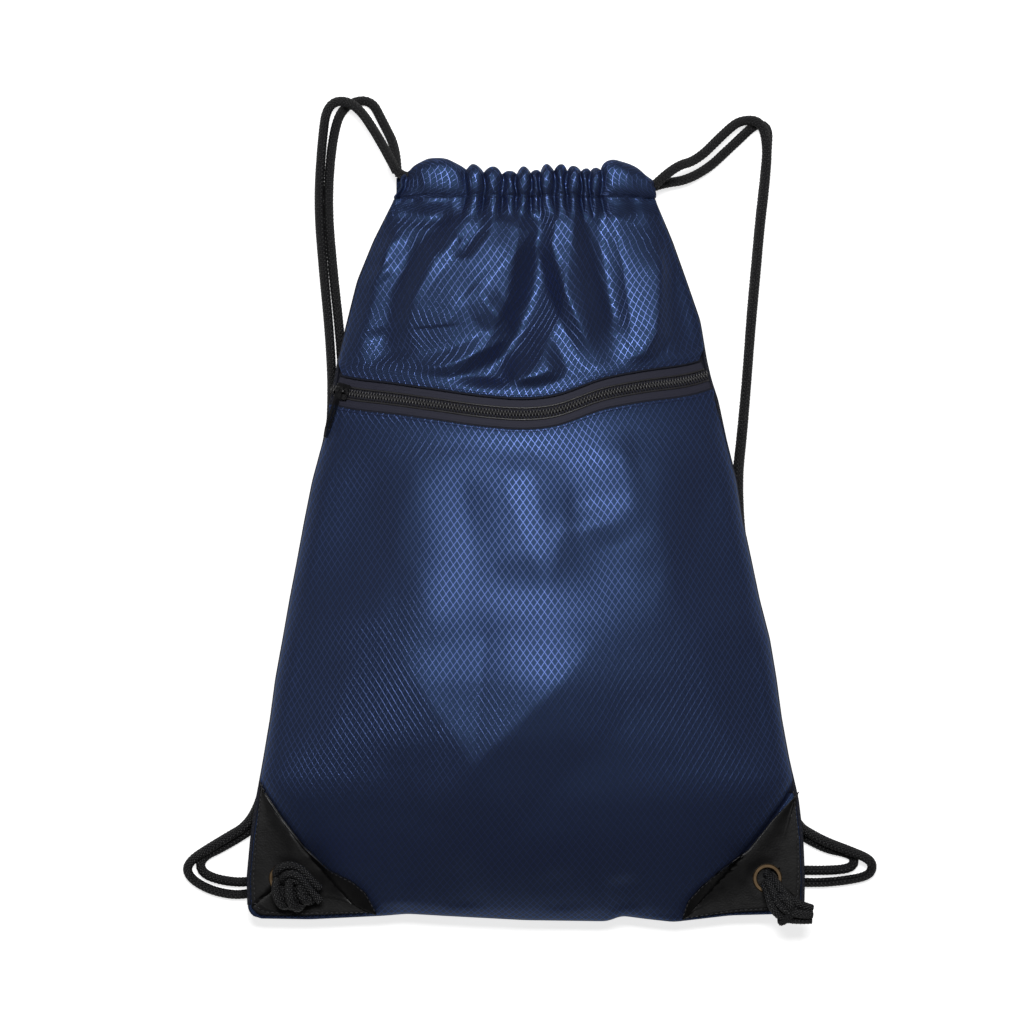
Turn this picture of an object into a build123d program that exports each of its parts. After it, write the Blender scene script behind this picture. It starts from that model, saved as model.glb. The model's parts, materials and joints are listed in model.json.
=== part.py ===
"""Drawstring backpack with a zipped front pocket, lying on its back.

The bag lies on its back panel: +X is the bag's right side as seen from the front, +Y runs
from the bottom seam to the gathered mouth and +Z rises from the surface to the front panel.
The origin is the centre of the bag's plan, on the surface. Millimetres throughout.
"""
import os
from math import asin, cos, degrees, exp, hypot, pi, radians, sin, sqrt, tan

from build123d import *

os.makedirs("parts", exist_ok=True)

# ---------------------------------------------------------------- driving dimensions
# bag body
bag_length = 463.0
bottom_half_width = 169.0
seam_height = 18.0
panel_wall = 1.2
corner_height = 76.5
neck_drop = 26.5
back_slope_width = 32.0
wall_lean = 0.2
seam_gap = 0.3

# the body from the leather corners (0) to the neck (1): share, half width, side wall, crown height
body_profile = [
    (0.0, 164.5, 10.0, 64.0),
    (0.1, 157.5, 10.6, 69.5),
    (0.2, 151.5, 11.0, 71.6),
    (0.3, 145.0, 10.8, 70.6),
    (0.4, 137.3, 9.8, 67.6),
    (0.5, 130.5, 8.8, 63.0),
    (0.6, 121.8, 7.4, 57.6),
    (0.7, 113.8, 6.2, 51.5),
    (0.8, 107.0, 5.0, 46.3),
    (0.9, 95.5, 4.0, 40.6),
    (1.0, 80.5, 3.0, 35.0),
]
stations_per_row = 4
section_points = 20

# main folds of the stuffed front: from x, y to x, y, half width, height (valleys are below zero)
front_folds = [
    (-42.0, 207.0, -64.0, 145.0, 10.0, 5.0),
    (-66.0, 110.0, -10.0, 122.0, 8.0, 4.0),
    (4.0, 205.0, -22.0, 142.0, 8.0, 4.5),
    (-39.0, 198.0, -42.0, 142.0, 10.0, -3.0),
    (14.0, 203.0, 0.0, 134.0, 8.0, -6.0),
    (28.0, 207.0, 24.0, 150.0, 9.0, 5.0),
    (24.0, 150.0, 46.0, 108.0, 9.0, 5.0),
    (54.0, 180.0, 56.0, 126.0, 11.0, -3.5),
    (25.0, 66.0, 32.0, 16.0, 10.0, -4.5),
    (-43.0, 50.0, -14.0, -52.0, 20.0, -3.0),
    (48.0, 50.0, 36.0, -52.0, 22.0, -3.0),
    (-72.0, -72.0, -30.0, -130.0, 14.0, 2.5),
    (44.0, -64.0, 2.0, -116.0, 14.0, 2.5),
]
fold_end = 0.2
edge_calm = 3.0
# the pinched bottom end, from the same first station down to the bottom seam
bottom_run_half_width = 94.0
bottom_end_wall = 1.0
bottom_end_crown = 3.0
floor_puff = 0.5
bottom_shares = [(0.0, 1.0), (0.35, 0.87), (0.65, 0.62), (0.88, 0.32), (1.0, 0.0)]

# gathered drawstring casings
casing_half_length = 76.0
casing_half_height = 11.7
casing_half_thickness = 5.3
casing_pleats = 11
pleat_swell = 0.8
tunnel_half_height = 9.8
tunnel_half_thickness = 3.9
tunnel_overrun = 1.0
tunnel_sections = 10
mouth_half_gap = 5.3
casing_side_gap = 0.3

# cords
cord_diameter = 5.5
lane_offset = 4.25
turn_window = 10.0
turn_window_gap = 1.0
turn_inset = 4.0
turn_run = 16.0
cord_exit = 2.0
run_share = 0.45
stack_gap = 0.2
riser_clearance = 0.15

# zipper
zip_half_span = 112.0
zip_centre_x = -2.0
zip_low_share = 0.64861
zip_sag = 17.0
zip_bulge = 30.0
zip_apex_height = 53.2
zip_slope = 7.0
zip_turn = 2.3
tape_thickness = 0.8
tape_half_width = 13.5
tape_inner = 1.5
hem_width = 4.5
hem_thickness = 1.5
coil_inner = 1.1
coil_outer = 3.6
coil_thickness = 1.8
rail_width = 1.2
tooth_pitch = 2.0
tooth_width = 1.1
tooth_share = 0.8
coil_overrun = 0.4
window_gap = 0.3
window_depth = 7.0
window_clear = 12.0
window_overrun = 8.0

# slider and puller
slider_length = 8.4
slider_head_width = 9.6
slider_tail_width = 7.8
slider_plate = 1.0
slider_clearance = 0.35
flange_width = 0.8
wedge_width = 1.5
wedge_length = 2.6
wedge_inset = 0.5
slider_stop = 1.0
flange_inset = 0.9
head_round = 0.9
bridge_rise = 3.9
bridge_round = 1.0
bridge_bar = 1.2
bridge_width = 1.5
bridge_span = 6.6
tab_length = 30.0
tab_width = 5.6
tab_thickness = 1.5
tab_eye_hole = 3.0
tab_eye_wall = 1.3
tab_neck_width = 4.4
tab_end_width = 2.8
tab_round = 1.2
tab_slot_length = 12.6
tab_slot_width = 1.9
tab_slot_place = 18.6

# pocket lining
lining_wall = 0.7
pocket_depth = 14.0
lining_low_station = 5
lining_high_station = 30
lining_gap = 0.8

# seam bindings
binding_width = 6.0
binding_thickness = 1.0
binding_gap = 0.8

# leather corners and eyelets
leather = 1.4
corner_radius = 7.0
patch_edge_gap = 0.5
eyelet_inset_x = 22.4
eyelet_inset_y = 26.6
eyelet_bore = 12.4
eyelet_flange = 17.8
eyelet_wall = 0.7
eyelet_rim = 1.0
eyelet_round = 0.6
hole_clearance = 0.3
washer_fit = 0.05

# knots
knot_ring = 8.6
knot_cord = 5.6
knot_lean = 1.0
knot_drop = 2.0

# ---------------------------------------------------------------- derived values
bottom_y = -bag_length / 2
body_start_y = bottom_y + corner_height
neck_y = bag_length / 2 - neck_drop
body_run = neck_y - body_start_y
zip_low_y = body_start_y + zip_low_share * body_run
casing_y = bag_length / 2 - casing_half_height - pleat_swell
cord_radius = cord_diameter / 2


def station_values(share):
    """Half width, side wall and crown height of the body at a share of the way to the neck."""
    for low, high in zip(body_profile, body_profile[1:]):
        if low[0] <= share <= high[0]:
            part = (share - low[0]) / (high[0] - low[0])
            return [a + part * (b - a) for a, b in zip(low[1:], high[1:])]
    raise ValueError(share)


def body_row(share):
    """Station of the body: y, half width, side wall and crown height."""
    return (body_start_y + share * body_run, *station_values(share))


station_count = stations_per_row * (len(body_profile) - 1)
body_stations = [body_row(step / station_count) for step in range(station_count + 1)]
edge_stations = body_stations[::stations_per_row]


def bottom_stations():
    """Stations of the pinched bottom end: the width runs along the edge of the leather corners."""
    _, first_half, first_wall, first_crown = body_stations[0]
    rows = []
    for share, puff in bottom_shares:
        y = body_start_y + share * (bottom_y + panel_wall - body_start_y)
        half = first_half + share * (bottom_run_half_width - first_half)
        wall = bottom_end_wall + puff * (first_wall - bottom_end_wall)
        crown = seam_height + bottom_end_crown + puff * (first_crown - seam_height - bottom_end_crown)
        rows.append((y, half, wall, crown))
    return rows


def fold_relief(x, y):
    """Height that the folds add to the front at one place: each is a soft ridge with faded ends."""
    total = 0.0
    for x0, y0, x1, y1, width, height in front_folds:
        run = Vector(x1 - x0, y1 - y0)
        offset = Vector(x - x0, y - y0)
        along = offset.dot(run) / run.length**2
        across = offset.cross(run).Z / run.length
        fade = min(1.0, max(0.0, (0.5 - abs(along - 0.5)) / fold_end + 1))
        total += height * fade * exp(-((across / width) ** 2))
    return total


def front_line(y, half, low, crown, drop=0.0):
    """Points across the front at one station: a dome from edge to edge with the folds on it."""
    points = []
    for step in range(section_points + 1):
        share = 2 * step / section_points - 1
        flatten = 1 - share**2
        height = low + (crown - low) * flatten + min(1.0, edge_calm * flatten) * fold_relief(share * half, y)
        points.append((share * half, height - drop))
    return points


def front_section(y, half, wall, crown):
    """Closed outline of the front fabric at one station: short side walls and a folded, domed top."""
    with BuildSketch(Plane.XZ.offset(-y)) as section:
        with BuildLine():
            shoulder = half - wall * wall_lean
            inner = half - panel_wall
            outer_line = front_line(y, shoulder, seam_height + wall, crown)
            inner_line = front_line(y, shoulder - panel_wall, seam_height + wall, crown, panel_wall)
            Polyline((-inner, seam_height), (-half, seam_height), outer_line[0])
            Spline(*outer_line)
            Polyline(outer_line[-1], (half, seam_height), (inner, seam_height), inner_line[-1])
            Spline(*inner_line)
            Line(inner_line[0], (-inner, seam_height))
        make_face()
    return section.sketch


def back_section(y, half, floor):
    """Closed outline of the back fabric at one station: a flat run on the surface and two slopes."""
    flat = half - back_slope_width
    slope_length = hypot(back_slope_width, seam_height - floor)
    rise = panel_wall * slope_length / back_slope_width
    with BuildSketch(Plane.XZ.offset(-y)) as section:
        with BuildLine():
            Polyline(
                (half, seam_height),
                (flat, floor),
                (-flat, floor),
                (-half, seam_height),
                (-half + panel_wall, seam_height),
                (-flat, floor + rise),
                (flat, floor + rise),
                (half - panel_wall, seam_height),
                (half, seam_height),
            )
        make_face()
    return section.sketch


def corner_outline(inset=0.0, edge=0.0):
    """Plan of one leather corner on the right: the slanted edge, the side, the round corner, the bottom."""
    with BuildLine() as outline:
        side_top = (body_stations[0][1] - inset, body_start_y - inset)
        side_low = (bottom_half_width - edge, bottom_y + edge)
        run_end = (bottom_run_half_width + inset, bottom_y + edge)
        FilletPolyline(run_end, side_low, side_top, radius=corner_radius)
        Line(side_top, run_end)
    return outline.line


eyelet_x = bottom_half_width - eyelet_inset_x
eyelet_y = bottom_y + eyelet_inset_y
barrel_radius = eyelet_bore / 2 + eyelet_wall
sides = {"left": -1, "right": 1}

# ---------------------------------------------------------------- zipper frame
# The zipper follows a circle in a tilted plane, so that it sags across the bag and bulges with it.
# The circle is turned a little about the vertical: the zipper ends higher on the right side seam.
zip_sagitta = hypot(zip_sag, zip_bulge)
zip_radius = (zip_half_span**2 + zip_sagitta**2) / (2 * zip_sagitta)
along_dir = Vector(1, 0, 0).rotate(Axis.Z, zip_turn)
out_dir = Vector(0, -zip_sag / zip_sagitta, zip_bulge / zip_sagitta).rotate(Axis.Z, zip_turn)
axis_dir = out_dir.cross(along_dir)
zip_apex = Vector(zip_centre_x, zip_low_y, zip_apex_height)
zip_centre = zip_apex - out_dir * zip_radius
zip_axis = Axis(zip_centre, axis_dir)
zip_end_angle = degrees(asin(zip_half_span / zip_radius))
across_dir = Vector(0, cos(radians(zip_slope)), -sin(radians(zip_slope))).rotate(Axis.Z, zip_turn)
across_radial = across_dir.dot(out_dir)
across_axial = across_dir.dot(axis_dir)


def zip_direction(angle):
    """Direction from the circle's centre to the zipper at an angle from its lowest point."""
    return out_dir * cos(radians(angle)) + along_dir * sin(radians(angle))


def zip_plane(angle):
    """Plane on the tape at an angle: x along the zipper, y across the tape, z out of the bag."""
    radial = zip_direction(angle)
    outward = radial * across_axial - axis_dir * across_radial
    along = along_dir * cos(radians(angle)) - out_dir * sin(radians(angle))
    return Plane(origin=zip_centre + radial * zip_radius, x_dir=along, z_dir=outward)


def zip_band(low, high, inside, outside, start, end):
    """Band that follows the zipper: from low to high across it, from inside to outside in depth."""
    plane = zip_plane(start)
    side = Plane(origin=plane.origin, x_dir=plane.y_dir, z_dir=plane.y_dir.cross(plane.z_dir))
    with BuildSketch(side) as profile:
        with BuildLine():
            Polyline((low, inside), (high, inside), (high, outside), (low, outside), (low, inside))
        make_face()
    return revolve(profile.sketch, axis=zip_axis, revolution_arc=end - start, mode=Mode.PRIVATE)


# ---------------------------------------------------------------- front fabric
with BuildPart() as front_shell:
    loft([front_section(*row) for row in body_stations], ruled=True)

with BuildPart() as zip_window:
    window_half = tape_half_width + window_gap
    window_end = zip_end_angle + window_overrun
    add(zip_band(-window_half, window_half, -window_depth, window_clear, -window_end, window_end))

with BuildPart() as front_cut:
    add(front_shell.part)
    add(zip_window.part, mode=Mode.SUBTRACT)

front_pieces = front_cut.part.solids().sort_by(Axis.Y)

with BuildPart() as front_upper_panel:
    add(front_pieces[-1])

with BuildPart() as front_lower_panel:
    add(front_pieces[0])
    loft([front_section(*row) for row in bottom_stations()])
    # the two corners, flat under the leather, and the seam along the bottom
    with BuildSketch(Plane.XY.offset(seam_height)):
        make_face(corner_outline())
        mirror(about=Plane.YZ)
        with Locations((0, bottom_y + panel_wall / 2)):
            Rectangle(2 * bottom_run_half_width + panel_wall, panel_wall)
        with Locations((eyelet_x, eyelet_y), (-eyelet_x, eyelet_y)):
            Circle(barrel_radius + hole_clearance, mode=Mode.SUBTRACT)
    extrude(amount=panel_wall)

# ---------------------------------------------------------------- back fabric
back_rows = [(y, half, 0.0) for y, half, _, _ in edge_stations]
for (y, half, _, _), (_, puff) in list(zip(bottom_stations(), bottom_shares))[1:]:
    floor = 0.0 if puff > floor_puff else (1 - puff) * (seam_height - 2 * panel_wall)
    back_rows.insert(0, (y, half, floor))

with BuildPart() as back_panel:
    loft([back_section(*row) for row in back_rows], ruled=True)
    with BuildSketch(Plane.XY.offset(seam_height)):
        make_face(corner_outline())
        mirror(about=Plane.YZ)
        with Locations((0, bottom_y + panel_wall / 2)):
            Rectangle(2 * bottom_run_half_width + panel_wall, panel_wall)
        with Locations((eyelet_x, eyelet_y), (-eyelet_x, eyelet_y)):
            Circle(barrel_radius + hole_clearance, mode=Mode.SUBTRACT)
    extrude(amount=-panel_wall)

# ---------------------------------------------------------------- gathered casings


def casing_height(x):
    """Height of the front casing's middle line above the seam plane, across the mouth."""
    end_rise = casing_half_thickness + pleat_swell + casing_side_gap
    return end_rise + mouth_half_gap * (1 - (x / casing_half_length) ** 2)


def casing_section(x, half_height, half_thickness, front):
    """Oval section of a casing at one place across the mouth."""
    with BuildSketch(Plane.YZ.offset(x)) as section:
        with Locations((casing_y, seam_height + front * casing_height(x))):
            Ellipse(half_height, half_thickness)
    return section.sketch


def casing(front):
    """Gathered sleeve: pleats swell and pinch along it, and a plain tunnel runs through it."""
    steps = 2 * casing_pleats
    outer = []
    inner = []
    for step in range(steps + 1):
        x = casing_half_length * (2 * step / steps - 1)
        swell = pleat_swell * (1 if step % 2 else -1)
        outer.append(casing_section(x, casing_half_height + swell, casing_half_thickness + swell, front))
    for step in range(tunnel_sections + 1):
        x = (casing_half_length + tunnel_overrun) * (2 * step / tunnel_sections - 1)
        inner.append(casing_section(x, tunnel_half_height, tunnel_half_thickness, front))
    with BuildPart() as sleeve:
        loft(outer, ruled=True)
        loft(inner, mode=Mode.SUBTRACT)
        # the way through which a cord turns from one casing into the other
        for side in sides.values():
            window_x = side * casing_half_length
            window_width = cord_diameter + 2 * turn_window_gap
            window_height = 2 * casing_height(casing_half_length)
            with Locations((window_x, casing_y + side * lane_offset, seam_height)):
                Box(2 * turn_window, window_width, window_height, mode=Mode.SUBTRACT)
    return sleeve


front_casing = casing(1)
back_casing = casing(-1)

# ---------------------------------------------------------------- pocket lining
lining_base = seam_height + binding_thickness + lining_gap + lining_wall


def lining_section(station):
    """Section of the pocket's inner layer: it follows the front's folds, deepest halfway down."""
    reach_share = (station - lining_low_station) / (lining_high_station - lining_low_station)
    depth = pocket_depth * sqrt(max(0.0, sin(pi * reach_share)))
    y, half, wall, crown = body_stations[station]
    reach = half - panel_wall - wall * wall_lean - lining_gap
    top = crown - panel_wall - lining_gap - depth
    upper_line = front_line(y, reach, lining_base, top)
    lower_line = front_line(y, reach, lining_base, top, lining_wall)
    with BuildSketch(Plane.XZ.offset(-y)) as section:
        with BuildLine():
            Spline(*upper_line)
            Line(upper_line[-1], lower_line[-1])
            Spline(*lower_line)
            Line(lower_line[0], upper_line[0])
        make_face()
    return section.sketch


with BuildPart() as pocket_lining:
    loft([lining_section(step) for step in range(lining_low_station, lining_high_station + 1)], ruled=True)

# ---------------------------------------------------------------- seam bindings


def binding_section(y, half, side):
    """Section of the tape that binds a side seam on the inside, flat on the seam plane."""
    middle = side * (half - panel_wall - binding_gap - binding_width / 2)
    with BuildSketch(Plane.XZ.offset(-y)) as section:
        with Locations((middle, seam_height + binding_thickness / 2)):
            Rectangle(binding_width, binding_thickness)
    return section.sketch


bindings = {}
for name, side in sides.items():
    with BuildPart() as binding:
        loft([binding_section(y, half, side) for y, half, _, _ in edge_stations], ruled=True)
    bindings[name] = binding

# ---------------------------------------------------------------- zipper
coil_end_angle = zip_end_angle + coil_overrun
tape_face = tape_thickness / 2
with BuildPart() as zip_tape_upper:
    add(zip_band(tape_inner, tape_half_width, -tape_face, tape_face, -zip_end_angle, zip_end_angle))

with BuildPart() as zip_tape_lower:
    add(zip_band(-tape_half_width, -tape_inner, -tape_face, tape_face, -zip_end_angle, zip_end_angle))

hem_low = tape_half_width - hem_width
hem_base = tape_face
hem_top = hem_base + hem_thickness
with BuildPart() as upper_zip_hem:
    add(zip_band(hem_low, tape_half_width, hem_base, hem_top, -zip_end_angle, zip_end_angle))

with BuildPart() as lower_zip_hem:
    add(zip_band(-tape_half_width, -hem_low, hem_base, hem_top, -zip_end_angle, zip_end_angle))

coil_base = tape_face
coil_top = coil_base + coil_thickness
tooth_step = degrees(tooth_pitch / zip_radius)
tooth_count = int(2 * (coil_end_angle - tooth_step) / tooth_step)


def coil_row(side, first_angle):
    """One half of the coil: a rail along the tape's edge with a tooth at every pitch."""
    rail_inner = coil_outer - rail_width
    low, high = sorted((side * rail_inner, side * coil_outer))
    reach = rail_inner - coil_inner + rail_width / 2
    middle = side * (coil_inner + reach / 2)
    seats = []
    for count in range(tooth_count):
        plane = zip_plane(first_angle + count * tooth_step)
        seat = plane.from_local_coords((0, middle, coil_base + coil_thickness / 2))
        seats.append(Plane(origin=seat, x_dir=plane.x_dir, z_dir=plane.z_dir))
    with BuildPart() as row:
        with Locations(*seats):
            Box(tooth_width, reach, coil_thickness * tooth_share)
        add(zip_band(low, high, coil_base, coil_top, -coil_end_angle, coil_end_angle), clean=False)
    return row


first_tooth = -coil_end_angle + tooth_step / 2
zip_coil_upper = coil_row(1, first_tooth)
zip_coil_lower = coil_row(-1, first_tooth + tooth_step / 2)

# ---------------------------------------------------------------- slider
slider_angle = -degrees(asin((zip_half_span - slider_length / 2 - slider_stop) / zip_radius))
slider_plane = zip_plane(slider_angle)
plate_base = coil_top + slider_clearance
plate_top = plate_base + slider_plate
under_top = -tape_face - slider_clearance
flange_inner = coil_outer + slider_clearance
flange_low = tape_face + slider_clearance
wedge_x = -slider_length / 2 + wedge_length / 2 + wedge_inset


def slider_outline():
    """Plan of a slider plate: broad shoulders at the wedge, a narrower tail, round corners."""
    head = slider_head_width / 2
    tail = slider_tail_width / 2 + flange_width
    start = -slider_length / 2
    end = slider_length / 2
    with BuildSketch() as outline:
        with BuildLine():
            Polyline((start, head), (start, -head), (0, -head), (end, -tail))
            Polyline((end, -tail), (end, tail), (0, head), (start, head))
        make_face()
        fillet(outline.vertices(), radius=head_round)
    return outline.sketch


with BuildPart() as slider_body:
    with BuildSketch(slider_plane.offset(plate_base)):
        add(slider_outline())
    extrude(amount=slider_plate)
    with BuildSketch(slider_plane.offset(under_top - slider_plate)):
        add(slider_outline())
    extrude(amount=slider_plate)
    # side flanges of the upper plate reach down beside the coil
    with BuildSketch(slider_plane.offset(flange_low)):
        with Locations((0, flange_inner + flange_width / 2), (0, -flange_inner - flange_width / 2)):
            Rectangle(slider_length - 2 * flange_inset, flange_width)
    extrude(amount=plate_base - flange_low + slider_plate / 2)
    # the wedge that joins the plates and parts the rows
    with BuildSketch(slider_plane.offset(under_top - slider_plate / 2)):
        with Locations((wedge_x, 0)):
            Ellipse(wedge_length / 2, wedge_width / 2)
    extrude(amount=plate_top - under_top)

bar_height = plate_top + bridge_rise - bridge_bar / 2
with BuildPart() as slider_bridge:
    side_view = Plane(origin=slider_plane.origin, x_dir=slider_plane.x_dir, z_dir=-slider_plane.y_dir)
    with BuildSketch(side_view):
        with BuildLine():
            half = bridge_span / 2
            top = plate_top + bridge_rise
            Polyline((-half, plate_top), (-half, top), (half, top), (half, plate_top), close=True)
        make_face()
        with BuildLine():
            Polyline(
                (-half + bridge_bar, plate_top),
                (-half + bridge_bar, top - bridge_bar),
                (half - bridge_bar, top - bridge_bar),
                (half - bridge_bar, plate_top),
                close=True,
            )
        make_face(mode=Mode.SUBTRACT)
    extrude(amount=bridge_width / 2, both=True)
    across = Axis(slider_plane.origin, slider_plane.y_dir)
    outward = Axis(slider_plane.origin, slider_plane.z_dir)
    fillet(slider_bridge.edges().filter_by(across).group_by(outward)[-1], radius=bridge_round)

# the tab hangs from the bar: its eye lies round the bar and its length runs across the tape
tab_centre = slider_plane.origin + slider_plane.z_dir * bar_height
tab_plane = Plane(origin=tab_centre, x_dir=-slider_plane.y_dir, z_dir=slider_plane.x_dir)
with BuildPart() as puller_tab:
    with BuildSketch(tab_plane.offset(-tab_thickness / 2)):
        with BuildLine():
            FilletPolyline(
                (0, -tab_neck_width / 2),
                (tab_length - tab_width, -tab_width / 2),
                (tab_length, -tab_end_width / 2),
                (tab_length, tab_end_width / 2),
                (tab_length - tab_width, tab_width / 2),
                (0, tab_neck_width / 2),
                radius=tab_round,
            )
            Line((0, tab_neck_width / 2), (0, -tab_neck_width / 2))
        make_face()
        Circle(tab_eye_hole / 2 + tab_eye_wall)
        Circle(tab_eye_hole / 2, mode=Mode.SUBTRACT)
        with Locations((tab_slot_place, 0)):
            SlotOverall(tab_slot_length, tab_slot_width, mode=Mode.SUBTRACT)
    extrude(amount=tab_thickness)

# ---------------------------------------------------------------- leather corners and eyelets
patch_top = seam_height + panel_wall + leather
patch_low = seam_height - panel_wall - leather
patches = {}
eyelets = {}
washers = {}
for name, side in sides.items():
    for face_name, start in (("front", patch_top - leather), ("back", patch_low)):
        with BuildPart() as patch:
            with BuildSketch(Plane.XY.offset(start)):
                make_face(corner_outline(patch_edge_gap, patch_edge_gap))
                with Locations((eyelet_x, eyelet_y)):
                    Circle(barrel_radius + hole_clearance, mode=Mode.SUBTRACT)
                if side < 0:
                    mirror(about=Plane.YZ, mode=Mode.REPLACE)
            extrude(amount=leather)
        patches[f"{name}_{face_name}_patch"] = patch
    with BuildPart() as eyelet:
        bore = eyelet_bore / 2
        rim = eyelet_flange / 2
        with BuildSketch(Plane((side * eyelet_x, eyelet_y, 0), x_dir=(1, 0, 0), z_dir=(0, -1, 0))):
            with BuildLine():
                Polyline(
                    (bore, patch_low - eyelet_rim),
                    (bore, patch_top + eyelet_rim - eyelet_round),
                    (bore + eyelet_round, patch_top + eyelet_rim),
                    (rim - eyelet_round, patch_top + eyelet_rim),
                    (rim, patch_top + eyelet_rim - eyelet_round),
                    (rim, patch_top),
                    (barrel_radius, patch_top),
                    (barrel_radius, patch_low - eyelet_rim),
                    close=True,
                )
            make_face()
        revolve(axis=Axis((side * eyelet_x, eyelet_y, 0), (0, 0, 1)))
    eyelets[name] = eyelet
    with BuildPart() as washer:
        with BuildSketch(Plane.XY.offset(patch_low - eyelet_rim)):
            with Locations((side * eyelet_x, eyelet_y)):
                Circle(eyelet_flange / 2)
                Circle(barrel_radius + washer_fit, mode=Mode.SUBTRACT)
        extrude(amount=eyelet_rim)
    washers[name] = washer

# ---------------------------------------------------------------- cords
# Each side has one cord. It runs through one casing, turns into the other at the far side and
# comes back, and its two ends go down the bag's side to that side's eyelet.
surface = cord_radius
stacked = 3 * cord_radius + stack_gap
exit_x = casing_half_length + cord_exit
knot_base = patch_top + eyelet_rim + seam_gap
riser_gap = cord_radius + riser_clearance


def corner_radii(points):
    """Fillet radius at each inner point, from the shorter run beside it and half the turn."""
    radii = []
    for before, here, after in zip(points, points[1:], points[2:]):
        run_in = Vector(*here) - Vector(*before)
        run_out = Vector(*after) - Vector(*here)
        half_turn = radians(run_in.get_angle(run_out) / 2)
        radii.append(run_share * min(run_in.length, run_out.length) / tan(half_turn))
    return radii


def cord_tube(points):
    """Round cord along straight runs joined by tangent arcs."""
    radii = corner_radii(points)
    with BuildPart() as tube:
        with BuildLine() as route:
            FilletPolyline(*points, radius=radii)
        with BuildSketch(Plane(origin=route.line @ 0, z_dir=route.line % 0)):
            Circle(cord_radius)
        sweep()
    length = sum(edge.length for edge in route.edges())
    print(f"cord {length:.0f} mm, volume share {tube.part.volume / (pi * cord_radius**2 * length):.4f},")
    print("  radii", [round(radius, 1) for radius in radii])
    return tube


def casing_route(side):
    """Way of one cord: through the front casing, round the far side and back through the back casing."""
    lane = casing_y - side * lane_offset
    turn_x = casing_half_length - turn_inset
    stops = [-exit_x, -exit_x / 2, 0, exit_x / 2, turn_x - turn_run, turn_x]
    out = [(-side * x, lane, seam_height + casing_height(x)) for x in stops]
    back = [(-side * x, lane, seam_height - casing_height(x)) for x in reversed(stops)]
    return out + back


upper_lane = casing_y + lane_offset
lower_lane = casing_y - lane_offset
exit_rise = casing_height(exit_x)
strand_routes = {
    "left_cord_front_strand": [
        (-exit_x, upper_lane, seam_height + exit_rise),
        (-88, 243, 20),
        (-104, 266.8, 12.5),
        (-120.5, 266.8, 8),
        (-124.0, 243, surface),
        (-126.3, 205, surface),
        (-123.2, 165, surface),
        (-119.2, 125, surface),
        (-117.4, 88, surface),
        (-120, 45, surface),
        (-131, -10, surface),
        (-144, -70, surface),
        (-155, -125, surface + 1),
        (-163, -170, stacked),
        (-188, -184.5, stacked),
        (-206.5, -196.5, 5),
        (-205, -206, surface),
        (-190, -214.5, surface),
        (-170, -217, surface),
        (-eyelet_x, eyelet_y - riser_gap, surface),
        (-eyelet_x, eyelet_y - riser_gap, knot_base - seam_gap),
    ],
    "left_cord_back_strand": [
        (-exit_x, upper_lane, seam_height - exit_rise),
        (-78.5, 238, 7.5),
        (-86.5, 254, 4.5),
        (-94.5, 269.5, surface),
        (-112, 264.5, surface),
        (-117.5, 243, surface),
        (-120.2, 205, surface),
        (-116.8, 165, surface),
        (-112.7, 125, surface),
        (-110.6, 88, surface),
        (-113, 45, surface),
        (-124, -10, surface),
        (-137, -70, surface),
        (-148, -125, surface),
        (-158.5, -171, surface),
        (-182, -186, surface),
        (-198.0, -193.5, surface),
        (-197.8, -202.5, surface),
        (-186, -207.5, surface),
        (-168, -209, surface),
        (-eyelet_x, eyelet_y + riser_gap, surface),
        (-eyelet_x, eyelet_y + riser_gap, knot_base - seam_gap),
    ],
    "right_cord_front_strand": [
        (exit_x, lower_lane, seam_height + exit_rise),
        (90, 226.5, 22),
        (104, 230, 19),
        (122, 248.5, 13),
        (131, 255.5, 10),
        (143.5, 255, 9),
        (147.5, 240, stacked),
        (145.6, 215, stacked),
        (142.6, 190, stacked),
        (140.0, 160, stacked),
        (137.0, 128, stacked),
        (134.5, 95, stacked),
        (132.0, 64, stacked),
        (129.0, 36, stacked),
        (131.5, -5, 7.5),
        (142, -60, surface + 1),
        (153.5, -120, 4),
        (161, -171, stacked),
        (180, -182.5, stacked),
        (196, -188.5, stacked),
        (209.5, -194, stacked),
        (211.6, -199.6, 5.5),
        (208.6, -204.8, surface),
        (195, -207.5, surface),
        (181, -208.8, surface),
        (165, -208.6, surface),
        (eyelet_x, eyelet_y - riser_gap, surface),
        (eyelet_x, eyelet_y - riser_gap, knot_base - seam_gap),
    ],
    "right_cord_back_strand": [
        (exit_x, lower_lane, seam_height - exit_rise),
        (84, 217, 9.5),
        (98, 219, 7),
        (112, 227, 4.5),
        (122, 236.5, surface),
        (130, 244, surface),
        (139.2, 252.8, surface),
        (144.2, 253.4, surface),
        (147.8, 250, surface),
        (147.6, 240.5, surface),
        (146.0, 222, surface),
        (143.0, 196, surface),
        (140.5, 168, surface),
        (137.7, 138, surface),
        (135.4, 104, surface),
        (132.3, 70, surface),
        (129.0, 40, surface),
        (124.0, 2, surface),
        (134.0, -55, surface),
        (146, -118, surface),
        (156.5, -172, surface),
        (180, -187.5, surface),
        (198.5, -191, surface),
        (201, -196, surface),
        (197.5, -200.3, surface),
        (184, -201.4, surface),
        (167, -201.2, surface),
        (eyelet_x, eyelet_y + riser_gap, surface),
        (eyelet_x, eyelet_y + riser_gap, knot_base - seam_gap),
    ],
}
strands = {name: cord_tube(route) for name, route in strand_routes.items()}
casing_runs = {name: cord_tube(casing_route(side)) for name, side in sides.items()}

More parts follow.
